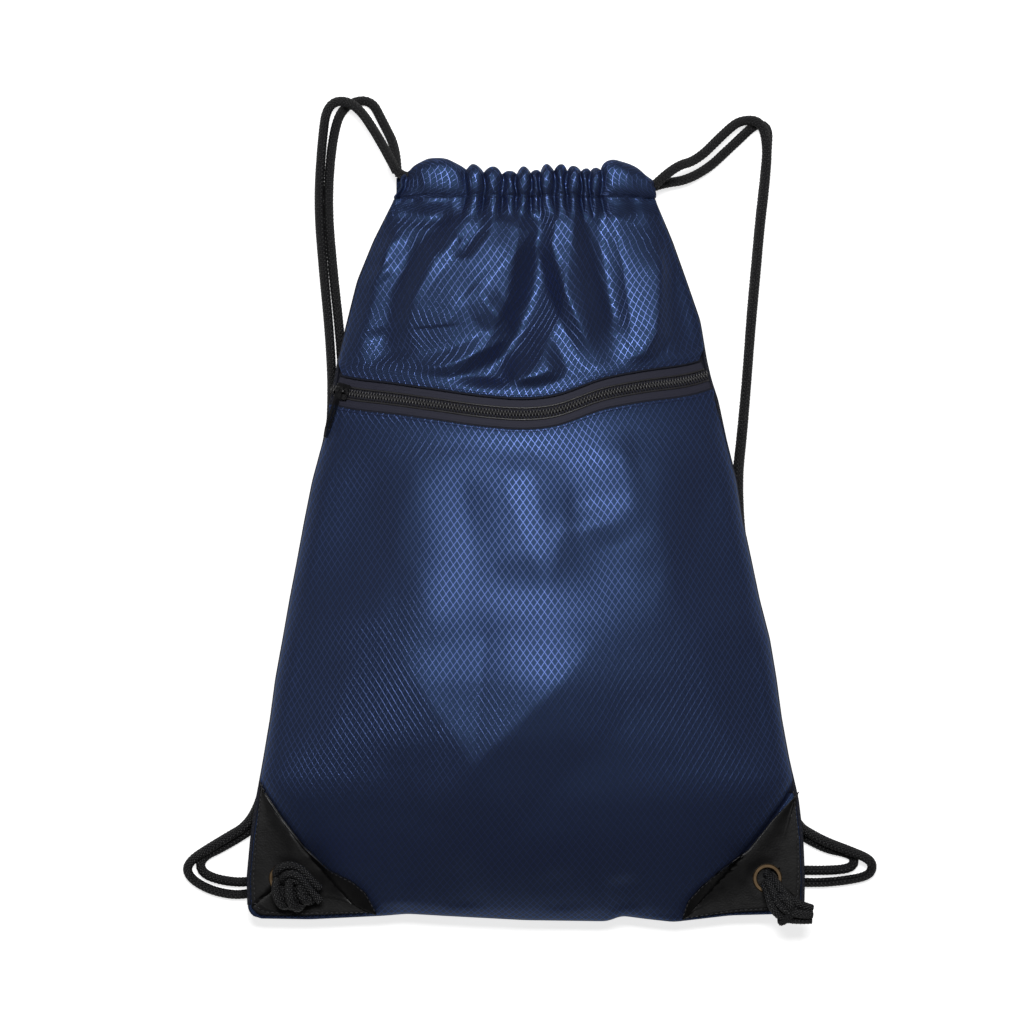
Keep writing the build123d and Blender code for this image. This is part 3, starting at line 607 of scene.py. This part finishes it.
def upperSheet(columns, rows, loopRows):
    s, v = sheetGrid(columns, rows)
    hem = hemLine(s[0] * body["upperHem"], body["hemReach"])
    y = hem[1] * (1 - v) + stitchY * v
    toHem = 1 - smoothStep(0, 0.10, v)
    x = acrossBag(s, y) * (1 - toHem) + hem[0] * toHem
    last = x[-1]
    swell = lobes(last)[1]
    calm = np.clip((1 - np.abs(s)) * 8, 0, 1)
    folds = sum(ridge(x, y, *fold) for fold in upperFolds) + 0.7 * wander(x, y, *casing["wander"])
    z = frontHeight(x, y) + (1 - toHem) * calm * folds * (1 - 0.45 * nearStitch(y, casing["pleatFade"]))
    # towards the stitched line the cloth comes down onto the casing
    level = nearStitch(y, casing["levelReach"])
    z = z * (1 - level) + (0.35 * z + 0.65 * (body["seam"] + casingMiddle(last) + casing["sewn"])) * level
    sewnDent = 0.35 + 0.9 * smoothStep(38, 60, np.abs(last))
    z = z - sewnDent * bell(y - stitchY, casing["dentWidth"])
    near = nearStitch(y, casing["pleatReach"])
    z = z + casing["pleatDepth"] * calm * (0.75 * near * swell + 1.15 * (1 - near * 0.6) * pleats(x, y))
    z = z * (1 - toHem) + hem[2] * toHem
    rings = list(np.stack([x, y, z], -1))
    depth = casing["thickness"] + casing["swell"] * swell
    for turn, loopY, out in casingTurns(lobes(last)[0], loopRows):
        narrow = 0.06 * smoothStep(stitchY, 214, loopY) * smoothStep(50, 80, -last)
        loopX = last * (1 - narrow) + casing["ripple"] * np.sin(last / 2.3 + 3 * turn) * math.cos(turn / 2)
        rings.append(np.stack([loopX, loopY, body["seam"] + casingMiddle(last) + depth * out], -1))
    return gridMesh("front_upper_cloth", np.array(rings))


frontUpper = upperSheet(270, 120, 48)
thicken(frontUpper, body["cloth"])
place(frontUpper, navyNylon, "navy_nylon", "front_upper_panel", "front_casing", "upper_zip_hem")

# the back: flat where it rests, sloping up to the side seams, with its own casing
back = {
    "slope": 32, "rise": 30, "inset": 1, "bottomInset": 0.6, "rest": 0.15, "belowSeam": 1.6,
    "crease": 0.5, "casingDrop": 1.5, "casingSwell": 0.5, "inside": 0.7,
    "closing": (72.5, 79, 0.75),
}


def backSheet(columns, rows, loopRows):
    s, v = sheetGrid(columns, rows)
    low = bottomLine(s * body["halfWidth"]) + back["bottomInset"]
    y = low * (1 - v) + stitchY * v
    x = acrossBag(s, y, back["inset"] + cornerPull(y - low))
    rise = np.clip((np.abs(x) - pillowHalf(x, y) + back["slope"]) / back["slope"], 0, 1)
    lift = np.clip((body["bottom"] + back["rise"] - y) / back["rise"], 0, 1) ** 1.5
    share = np.maximum(rise**1.15, lift)
    crease = back["crease"] * (1 - share) * smoothStep(0, 12, y - low) * (1 + wander(x, y, 26, 9))
    z = back["rest"] + crease + (body["seam"] - back["belowSeam"]) * share
    rings = list(np.stack([x, y, z], -1))
    last = x[-1]
    start, end, most = back["closing"]
    closing = 1 - most * smoothStep(start, end, np.abs(last))
    swell = back["casingSwell"] * lobes(last + 5)[1]
    for turn, loopY, out in casingTurns(lobes(last)[0] - back["casingDrop"], loopRows):
        depth = (casing["thickness"] + (back["inside"] if out < 0 else 0) + swell) * closing
        loopZ = np.maximum(body["seam"] - casingMiddle(last) - depth * out, 0.3)
        rings.append(np.stack([last, loopY, loopZ], -1))
    return gridMesh("back_cloth", np.array(rings)[:, ::-1])


backCloth = backSheet(170, 210, 34)
thicken(backCloth, body["cloth"])
place(backCloth, navyNylon, "navy_nylon", "back_panel", "back_casing")

# the pocket's inner layer, and the tapes over the side seams inside
pocket = {
    "low": -108, "height": 220, "width": 0.955, "under": 3.4, "depth": 11, "floor": 20.6, "bow": 1.5,
    "thickness": 0.7,
}
s, v = sheetGrid(60, 60)
y = pocket["low"] + pocket["height"] * v
x = s * np.minimum(rightEdge(y), -leftEdge(y)) * pocket["width"]
folds = sum(ridge(x, y, *fold) for fold in lowerFolds + upperFolds)
hang = pocket["under"] + pocket["depth"] * np.sqrt(np.sin(math.pi * v))
floorLine = pocket["floor"] + pocket["bow"] * (1 - s**2)
z = np.maximum(frontHeight(x, y) + np.minimum(folds, 0) - hang, floorLine)
lining = gridMesh("pocket_lining_cloth", np.stack([x, y, z], -1))
thicken(lining, pocket["thickness"])
place(lining, tapeCloth, "lining_nylon", "pocket_lining")

binding = {"low": -153, "top": 203, "inner": 2.2, "outer": 8, "height": 18.9, "thickness": 0.8}
for side, (edge, sign) in sides.items():
    reach, ys = np.meshgrid(
        np.linspace(binding["inner"], binding["outer"], 5), np.linspace(binding["low"], binding["top"], 90)
    )
    flat = np.stack([edge(ys) - sign * reach, ys, np.full(ys.shape, binding["height"])], -1)
    strip = gridMesh(side + "_binding_tape", flat[:, ::sign], arcMap(flat))
    thicken(strip, binding["thickness"])
    faceOut(strip)
    place(strip, bindingCloth, "binding_tape", side + "_seam_binding")
print("bag body made")


def smoothRoute(points, step):
    # a NURBS line with the points as its control points, as evenly spaced places in metres
    curve = bpy.data.curves.new("line", "CURVE")
    curve.dimensions = "3D"
    curve.resolution_u = 24
    spline = curve.splines.new("NURBS")
    spline.points.add(len(points) - 1)
    for point, spot in zip(spline.points, points):
        point.co = (*(value * mm for value in spot), 1)
    spline.order_u = 3
    spline.use_endpoint_u = True
    holder = bpy.data.objects.new("line", curve)
    mesh = bpy.data.meshes.new_from_object(holder)
    line = np.array([vertex.co[:] for vertex in mesh.vertices])
    bpy.data.batch_remove((holder, curve, mesh))
    length = walked(line)[-1]
    return evenPoints(line, max(8, int(length / step))), length


def tubeAlong(name, path, radius, count, plait=0):
    # a closed tube of so many sides round a path in metres, with the relief of the plait
    tangent = np.gradient(path, axis=0)
    tangent /= np.linalg.norm(tangent, axis=1)[:, None]
    normal = np.cross(tangent[0], [0.1, 0.05, 1.0])
    steps = walked(path)
    turn = np.linspace(0, 2 * math.pi, count, endpoint=False)
    rings = []
    for spot, direction, along in zip(path, tangent, steps):
        normal = normal - direction * (normal @ direction)
        normal /= np.linalg.norm(normal)
        other = np.cross(direction, normal)
        run, strand = math.pi * along / braid["pitch"], braid["strands"] / 2 * turn
        relief = 1.4 * np.abs(np.sin(run + strand)) * np.abs(np.sin(run - strand))
        size = radius * mm * (1 - plait + plait * relief)[:, None]
        rings.append(spot + np.cos(turn)[:, None] * size * normal + np.sin(turn)[:, None] * size * other)
    maps = np.stack(np.meshgrid(turn / (2 * math.pi), steps), -1)
    tube = gridMesh(name, np.array(rings) / mm, maps, ring=True)
    faceOut(tube, closeEnds=True)
    return tube


def makeTube(name, points, diameter, step, count, plait):
    path, length = smoothRoute(points, step * mm)
    return tubeAlong(name, path, diameter / 2, count, plait), path, length


# drawn diameter, step, sides and plait of the strands, the knots and the runs inside the casings
cord = {
    "diameter": 5.5, "strand": (5.9, 0.75, 18, 0.1), "knot": (5.5, 0.6, 18, 0.14),
    "run": (5.5, 1.5, 12, 0.1), "runSunk": 0.4,
}
exitX, upperLane, lowerLane = 78.0, 223.25, 214.75
frontExit, backExit = 24.12, 11.88
lay, stack = 2.75, 8.45
riserX, riserSouth, riserNorth, riserTop = 146.6, -207.8, -202.0, 21.6
# each cord's way in mm; a point with no height of its own lies on the floor
routes = {
    "left_cord_front_strand": [
        (-exitX, upperLane, frontExit), (-88, 243, 20), (-104, 266.8, 12.5), (-120.5, 266.8, 8),
        (-124, 243), (-126.3, 205), (-123.2, 165), (-119.2, 125), (-117.4, 88), (-120, 45), (-131, -10),
        (-144, -70), (-155, -125, lay + 1), (-163, -170, stack), (-188, -184.5, stack), (-206.5, -196.5, 5),
        (-205, -206), (-190, -214.5), (-170, -217), (-riserX, riserSouth), (-riserX, riserSouth, riserTop),
    ],
    "left_cord_back_strand": [
        (-exitX, upperLane, backExit), (-78.5, 238, 7.5), (-86.5, 254, 4.5), (-94.5, 269.5), (-112, 264.5),
        (-118, 243), (-120.7, 205), (-117.4, 165), (-112.9, 125), (-110.6, 88), (-113, 45), (-124, -10),
        (-137, -70), (-148, -125), (-158.5, -171), (-182, -186), (-198, -193.5), (-197.8, -202.5),
        (-186, -207.5), (-168, -209), (-riserX, riserNorth), (-riserX, riserNorth, riserTop),
    ],
    "right_cord_front_strand": [
        (exitX, lowerLane, frontExit), (90, 226.5, 22), (104, 230, 19), (122, 248.5, 13), (131, 255.5, 10),
        (143.5, 255, 9), (147.5, 240, stack), (145.6, 215, stack), (142.6, 190, stack), (140, 160, stack),
        (137, 128, stack), (134.5, 95, stack), (132, 64, stack), (129, 36, stack), (131.5, -5, 7.5),
        (142, -60, lay + 1), (153.5, -120, 4), (161, -171, stack), (180, -182.5, stack),
        (196, -188.5, stack), (209.5, -194, stack), (211.6, -199.6, 5.5), (208.6, -204.8), (195, -207.5),
        (181, -208.8), (165, -208.6), (riserX, riserSouth), (riserX, riserSouth, riserTop),
    ],
    "right_cord_back_strand": [
        (exitX, lowerLane, backExit), (84, 217, 9.5), (98, 219, 7), (112, 227, 4.5), (122, 236.5),
        (130, 244), (139.2, 252.8), (144.2, 253.4), (147.8, 250), (147.6, 240.5), (146, 222), (143, 196),
        (140.5, 168), (137.7, 138), (135.4, 104), (132.3, 70), (129, 40), (124, 2), (134, -55), (146, -118),
        (156.5, -172), (180, -187.5), (198.5, -191), (201, -196), (197.5, -200.3), (184, -201.4),
        (167, -201.2), (riserX, riserNorth), (riserX, riserNorth, riserTop),
    ],
}

# knots: two cord ends wound round each other, with cut ends sticking out to the right
knotLines = {
    "left_knot": [
        [(-146, -205, 22), (-151, -203, 27), (-150, -198.5, 31), (-143, -195.5, 32), (-135.5, -198, 31.5),
         (-129.5, -205.5, 30), (-124.2, -210.5, 28)],
        [(-144, -209, 24), (-147.5, -205.5, 30), (-145, -201.5, 33.5), (-139, -201, 34.5),
         (-133.5, -206, 33), (-130, -212, 30.5), (-124, -218, 28.5)],
        [(-149, -202, 26), (-151.5, -209, 30), (-149.5, -218, 30), (-145.5, -221.8, 27.5),
         (-142.5, -218, 25), (-142, -210, 25)],
        [(-142, -203, 31), (-143, -212, 34.5), (-141.2, -220, 33), (-137, -222.8, 29.5), (-134, -218, 26),
         (-135, -209, 26)],
        [(-136, -205, 30), (-136.5, -213, 33), (-133, -218.5, 31.5), (-129.5, -216, 28), (-131, -208, 27)],
        [(-141.6, -214, 26), (-144.1, -208.2, 29.5), (-141, -204.5, 32), (-136.2, -206.4, 32),
         (-132.6, -212.4, 30), (-129.8, -219.4, 27)],
        [(-146.9, -204.1, 25), (-147.5, -213, 28), (-145.7, -219.7, 27), (-141, -221.4, 25.5)],
        [(-139.5, -206, 26), (-139.5, -214, 29), (-138.5, -220, 27)],
    ],
    "right_knot": [
        [(147.5, -203.5, 21.5), (151.5, -206.5, 27), (156, -213.5, 31.5), (163, -219.5, 31.5),
         (173.2, -222.8, 28)],
        [(144.8, -208, 21.5), (147, -214, 28), (149, -221.5, 31), (153.5, -227, 30), (162, -229.6, 28.5),
         (173, -229.2, 27)],
        [(148.5, -219, 26), (151.5, -214.5, 32), (157, -216, 35.5), (160.5, -222, 35), (158, -229, 31),
         (154, -230.5, 27)],
        [(146.5, -206, 24), (150.5, -213.5, 31.5), (155, -222, 34.5), (163.5, -225.5, 33.5),
         (173, -226, 30)],
        [(150, -223.5, 25.5), (155, -219, 30), (164, -221.5, 30), (172.5, -225.5, 27)],
    ],
}
for name, lines in knotLines.items():
    tubes = [makeTube(f"{name}_strand_{number}", line, *cord["knot"])[0] for number, line in enumerate(lines)]
    selectOnly(*tubes)
    bpy.ops.object.join()
    tubes[0].name = name + "_braid"
    place(tubes[0], blackBraid, "black_cord", name)

for name, route in routes.items():
    route = [(*spot, lay)[:3] for spot in route]
    tube, path, length = makeTube(name + "_braid", route, *cord["strand"])
    place(tube, blackBraid, "black_cord", name)
    side = name.split("_")[0]

# inside the casings the cords run side by side
for side, direction, ends, lane in (("left", 1, upperLane, 216.2), ("right", -1, lowerLane, 210.9)):
    out = [(-exitX, ends)] + [(x, lane) for x in (-66, -40, 0, 40, 62, 71)]
    off = [casingMiddle(x) - cord["runSunk"] for x, _ in out]
    line = [(direction * x, y, body["seam"] + high) for (x, y), high in zip(out, off)]
    line += [(direction * x, y, body["seam"] - high) for (x, y), high in zip(out[::-1], off[::-1])]
    run = makeTube(side + "_casing_run_braid", line, *cord["run"])[0]
    place(run, blackBraid, "black_cord", side + "_cord_casing_run")
print("cords made")

zipWear = {
    "tapeHalf": 13, "tapeInner": 1.4, "tapeOut": 0.42, "tapeThickness": 0.8,
    "ribs": ((4.6, 0.5, 0.16), (6.6, 0.4, 0.22)), "toothPitch": 1.9, "toothInner": -0.9,
    "toothOuter": 2.7, "toothRadius": 0.56, "toothOut": 1.15, "toothRise": 0.75, "overrun": 0.012,
    "stitchReach": 11, "stitchOut": 2.45, "stitchPitch": 2.6,
}
halves = {"upper": 1, "lower": -1}
hexagon = np.linspace(0, 2 * math.pi, 6, endpoint=False)

# woven tape with a low rib along its inner edge and another where it is sewn
reach = zipWear["tapeInner"] + np.linspace(0, 1, 22) * (zipWear["tapeHalf"] - zipWear["tapeInner"])
ribs = sum(height * bell(reach - where, width) for where, width, height in zipWear["ribs"])
angles = np.linspace(-zipEnd, zipEnd, 220)[:, None]
for half, sign in halves.items():
    points = onZip(angles, sign * reach, zipWear["tapeOut"] + ribs)
    tape = gridMesh(half + "_tape_weave", points[:, ::-sign])
    thicken(tape, zipWear["tapeThickness"])
    faceOut(tape)
    place(tape, tapeCloth, "zip_tape", "zip_tape_" + half)


def smallPieces(name, points, rings):
    # many small closed bodies in one mesh, each of so many six-sided rings
    faces = []
    for base in range(0, len(points), rings * 6):
        last = base + (rings - 1) * 6
        for ring in range(base, last, 6):
            for k in range(6):
                a, b = ring + k, ring + (k + 1) % 6
                faces.append((a, b, b + 6, a + 6))
        faces += [tuple(range(base, base + 6)), tuple(range(last, last + 6))]
    row = meshPiece(name, np.array(points), faces)
    faceOut(row)
    return row


def coilRow(half, side):
    # one loop of nylon at every pitch, leaning a little, with the two rows interleaved
    step = zipWear["toothPitch"] / zipRadius
    start = -zipEnd - zipWear["overrun"] + (0.5 * step if side > 0 else 0)
    inner, outer, rise = zipWear["toothInner"], zipWear["toothOuter"], zipWear["toothRise"]
    # across, out and lean of each ring of a loop
    loop = [(outer, -0.35, 0.30), (outer - 0.2, 0.45, 0.20), (outer - 1.2, rise, 0.05)]
    loop += [(inner + 0.8, rise, -0.10), (inner, 0.30, -0.15), (inner, -0.30, -0.15)]
    points = []
    for tooth in range(int(2 * (zipEnd + zipWear["overrun"]) / step)):
        for across, out, lean in loop:
            for turn in hexagon:
                angle = start + tooth * step + (lean + zipWear["toothRadius"] * math.cos(turn)) / zipRadius
                depth = zipWear["toothOut"] + out + zipWear["toothRadius"] * math.sin(turn)
                points.append((angle, side * across, depth))
    row = smallPieces(half + "_coil_teeth", onZip(*np.array(points).T), len(loop))
    place(row, coilNylon, "zip_coil", "zip_coil_" + half)


for half, side in halves.items():
    coilRow(half, side)

# thin cords and rolled edges along the zipper: reach, out, radius
zipLines = {
    "coil_cord": (3.5, 0.9, 0.6, coilNylon, "zip_coil"),
    "fold": (9.2, 1.45, 0.75, bindingCloth, "navy_nylon"),
}
angles = np.linspace(-zipEnd * 0.998, zipEnd * 0.998, 160)
for kind, (reach, out, radius, material, slot) in zipLines.items():
    for half, sign in halves.items():
        line = tubeAlong(f"{half}_{kind}", onZip(angles, sign * reach, out) * mm, radius, 10)
        place(line, material, slot)


def stitchRow(name, spots, directions, up, length, radius, material, slot):
    # short rounded stitches, each a few dozen faces: place along, swell and lift of each ring
    rings = ((-0.5, 0.15, -0.35), (-0.3, 0.9, 0.25), (0, 1, 0.45), (0.3, 0.9, 0.25), (0.5, 0.15, -0.35))
    points = []
    for spot, direction, normal in zip(spots, directions, np.broadcast_to(up, spots.shape)):
        direction = direction / np.linalg.norm(direction)
        normal = normal - direction * (normal @ direction)
        normal = normal / np.linalg.norm(normal)
        other = np.cross(direction, normal)
        for along, swell, lift in rings:
            for turn in hexagon:
                offset = swell * radius * (math.cos(turn) * other + math.sin(turn) * normal)
                points.append(spot + direction * along * length + normal * lift * radius + offset)
    place(smallPieces(name, points, len(rings)), material, slot)


# the seam's thread lies on the cloth, a little out of the hem
stitchAngles = np.arange(-zipEnd * 0.985, zipEnd * 0.985, zipWear["stitchPitch"] / zipRadius)
for half, sign in halves.items():
    across = sign * zipWear["stitchReach"]
    onCloth = onZip(stitchAngles, across, zipWear["stitchOut"])
    ahead = onZip(stitchAngles + 0.005, across, zipWear["stitchOut"]) - onCloth
    outward = onZip(stitchAngles, across, zipWear["stitchOut"] + 1) - onCloth
    stitchRow(half + "_zip_stitches", onCloth, ahead, outward, 1.9, 0.26, threadNavy, "navy_nylon")
print("zipper made")

# leather corners
patch = {
    "front": 19.35, "back": 16.6, "thickness": 1.3, "bevel": 0.35, "edgeGap": 2.3, "round": 7.5,
    "swell": 1.6, "swellReach": 0.3, "unevenness": 0.26, "wander": (17, 12), "rim": 0.5,
    "clear": 0.5, "eyeletX": 146.6, "eyeletY": -204.9, "eyeletRim": 8, "stitchPitch": 2.9,
    "threadLift": 0.12,
}
slantLines = {
    "left": [
        (-160.3, -148.5), (-156.7, -153.8), (-147.1, -168.3), (-133.2, -185.8), (-118.7, -199.1),
        (-104.2, -206.2), (-96.3, -213.4), (-90.3, -226.5),
    ],
    "right": [
        (165.4, -153), (149.5, -169.5), (135, -187.2), (118.1, -199.1), (106, -209.4), (98.2, -218.4),
        (95, -229.5),
    ],
}


def cornerGrid(side, slant, rows=70, columns=34):
    # leather between the slanted edge and the bag's own corner
    edge, sign = sides[side]
    turnY = body["bottom"] + patch["round"]
    outer = [(edge(y) - sign * patch["edgeGap"], y) for y in np.linspace(slant[0][1], turnY, 24)]
    cornerX = edge(turnY) - sign * (patch["edgeGap"] + patch["round"])
    cornerY = bottomLine(sign * 160) + patch["edgeGap"] + patch["round"]
    for turn in np.radians(np.linspace(8, 82, 8)):
        sine, cosine = math.sin(turn), math.cos(turn)
        outer.append((cornerX + sign * patch["round"] * cosine, cornerY - patch["round"] * sine))
    for x in np.linspace(cornerX, slant[-1][0], 20):
        outer.append((x, bottomLine(x) + patch["edgeGap"]))
    share = np.linspace(0, 1, columns)
    inner, outer = evenPoints(slant, rows)[:, None, :], evenPoints(outer, rows)[:, None, :]
    return inner * (1 - share[:, None]) + outer * share[:, None], share


def patchFace(side, face, slant):
    sign = sides[side][1]
    flat, share = cornerGrid(side, slant)
    x, y = flat[..., 0], flat[..., 1]
    eyeletX = sign * patch["eyeletX"]
    away = np.hypot(x - eyeletX, y - patch["eyeletY"])
    along = np.linspace(0, 1, len(flat))[:, None]
    swell = patch["swell"] * bell(share, patch["swellReach"]) * np.sin(math.pi * along) ** 0.5
    swell = swell + patch["unevenness"] * wander(x, y, *patch["wander"]) * smoothStep(9, 16, away)
    rim = patch["rim"] * bell(share - 0.97, 0.03)
    lift = np.maximum((swell - rim) * smoothStep(7.2, 14, away), -0.2)
    height = patch[face] + (lift if face == "front" else -lift)
    if face == "front":
        below = frontHeight(x, y) + patch["clear"]
        height = np.where(share < 0.5, np.maximum(height, below), height)
    # the eyelet's hole pushes the leather outwards to its rim
    push = np.clip(patch["eyeletRim"] - away, 0, None) / np.maximum(away, 0.1)
    points = np.stack([x + (x - eyeletX) * push, y + (y - patch["eyeletY"]) * push, height], -1)
    shown = points[::-1] if (sign > 0) == (face == "front") else points
    piece = gridMesh(f"{side}_{face}_leather", shown)
    thicken(piece, patch["thickness"], 1.0)
    applyModifier(piece, "BEVEL", width=patch["bevel"] * mm, segments=2, limit_method="ANGLE")
    faceOut(piece)
    place(piece, blackLeather, "black_leather", f"{side}_{face}_patch")
    return points


for side, slant in slantLines.items():
    frontPoints = patchFace(side, "front", slant)
    patchFace(side, "back", slant)
    # a row of thread along the slanted edge and one round the outside
    spots, ahead = [], []
    for share in (0.045, 0.95):
        column = frontPoints[:, round(share * (frontPoints.shape[1] - 1))]
        run = evenPoints(column, int(walked(column)[-1] / patch["stitchPitch"]))
        spots.append(run[:-1] + [0, 0, patch["thickness"] + patch["threadLift"]])
        ahead.append(np.diff(run, axis=0))
    spots, ahead = np.concatenate(spots), np.concatenate(ahead)
    stitchRow(side + "_leather_stitches", spots, ahead, (0, 0, 1), 2.0, 0.3, threadGrey, "black_leather")
print("leather made")

piping = {
    "low": -221, "top": 206, "inset": 0.9, "overSeam": 0.2, "radius": 1.3, "stitchInset": 0.5,
    "stitchOverSeam": 1.35, "stitches": 132, "lean": 0.25,
}
for side, (edge, sign) in sides.items():
    ys = np.linspace(piping["low"], piping["top"], 240)
    level = np.full(len(ys), body["seam"])
    path = np.column_stack([edge(ys) - sign * piping["inset"], ys, level + piping["overSeam"]]) * mm
    roll = tubeAlong(side + "_side_piping", path, piping["radius"], 12)
    place(roll, bindingCloth, "binding_tape")
    seam = np.column_stack([edge(ys) - sign * piping["stitchInset"], ys, level + piping["stitchOverSeam"]])
    run = evenPoints(seam, piping["stitches"])
    spots, ahead, up = run[:-1], np.diff(run, axis=0), (piping["lean"] * sign, 0, 1)
    stitchRow(side + "_piping_stitches", spots, ahead, up, 1.5, 0.2, threadGrey, "binding_tape")
print("piping made")


def pieces(*names):
    return [piece for piece in bpy.data.objects if piece.name.endswith(names) and "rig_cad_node" not in piece]


for nodeName in ("slider_body", "slider_bridge", "puller_tab"):
    dress(bpy.data.objects[nodeName], blackMetal)
for nodeName in ("left_eyelet", "right_eyelet", "left_eyelet_washer", "right_eyelet_washer"):
    dress(bpy.data.objects[nodeName], agedBrass)

# floor, light and camera
view = {"scale": 0.604, "centreX": -8.15, "centreY": 17.1, "distance": 3, "plane": 0.03, "pixels": 1024}
stage = {
    "floorColour": (0.9, 0.9, 0.9),
    "floorRoughness": 0.9,
    "glow": 0.75,
    "worldStrength": 0.055,
    "key": {"spot": (0.05, 0.66, 1.85), "target": (0, 0, 0.03), "size": (0.9, 0.5), "power": 26},
    "fill": {"spot": (-1.3, -0.2, 1), "target": (0, 0, 0), "size": (0.8, 0.8), "power": 1.2},
}

bpy.ops.mesh.primitive_plane_add(size=8, location=(0, 0, 0))
floor = bpy.context.active_object
floor.name = "studio_floor"


def floorLooks(tree):
    rays = addNode(tree, "LightPath", {})
    seen = mathNode(tree, "MAXIMUM", rays["Is Camera Ray"], rays["Is Transmission Ray"])
    return {
        "Base Color": stage["floorColour"],
        "Roughness": stage["floorRoughness"],
        "Emission Color": (1, 1, 1),
        "Emission Strength": mathNode(tree, "MULTIPLY", seen, stage["glow"]),
    }


dress(floor, makeSurface("PaleFloor", floorLooks))


def areaLight(name, spot, target, size, power):
    lamp = bpy.data.lights.new(name, "AREA")
    lamp.shape = "RECTANGLE"
    lamp.size, lamp.size_y = size
    lamp.energy = power
    holder = addObject(name, lamp)
    holder.location = spot
    holder.rotation_euler = (Vector(target) - Vector(spot)).to_track_quat("-Z", "Y").to_euler()


areaLight("key_softbox", **stage["key"])
areaLight("left_fill", **stage["fill"])
world = bpy.context.scene.world = bpy.data.worlds.new("studio")
world.use_nodes = True
background = {"Color": (1, 1, 1), "Strength": stage["worldStrength"]}
feed(world.node_tree, world.node_tree.nodes["Background"], background)

camera = addObject("camera", bpy.data.cameras.new("camera"))
bpy.context.scene.camera = camera
camera.location = (view["centreX"] * mm, view["centreY"] * mm, view["distance"] + view["plane"])
camera.data.sensor_width = 36
camera.data.lens = 36 * view["distance"] / (view["pixels"] * view["scale"] * mm)
camera.data.clip_end = 20
bpy.context.scene.view_settings.view_transform = "Standard"
print("stage set")
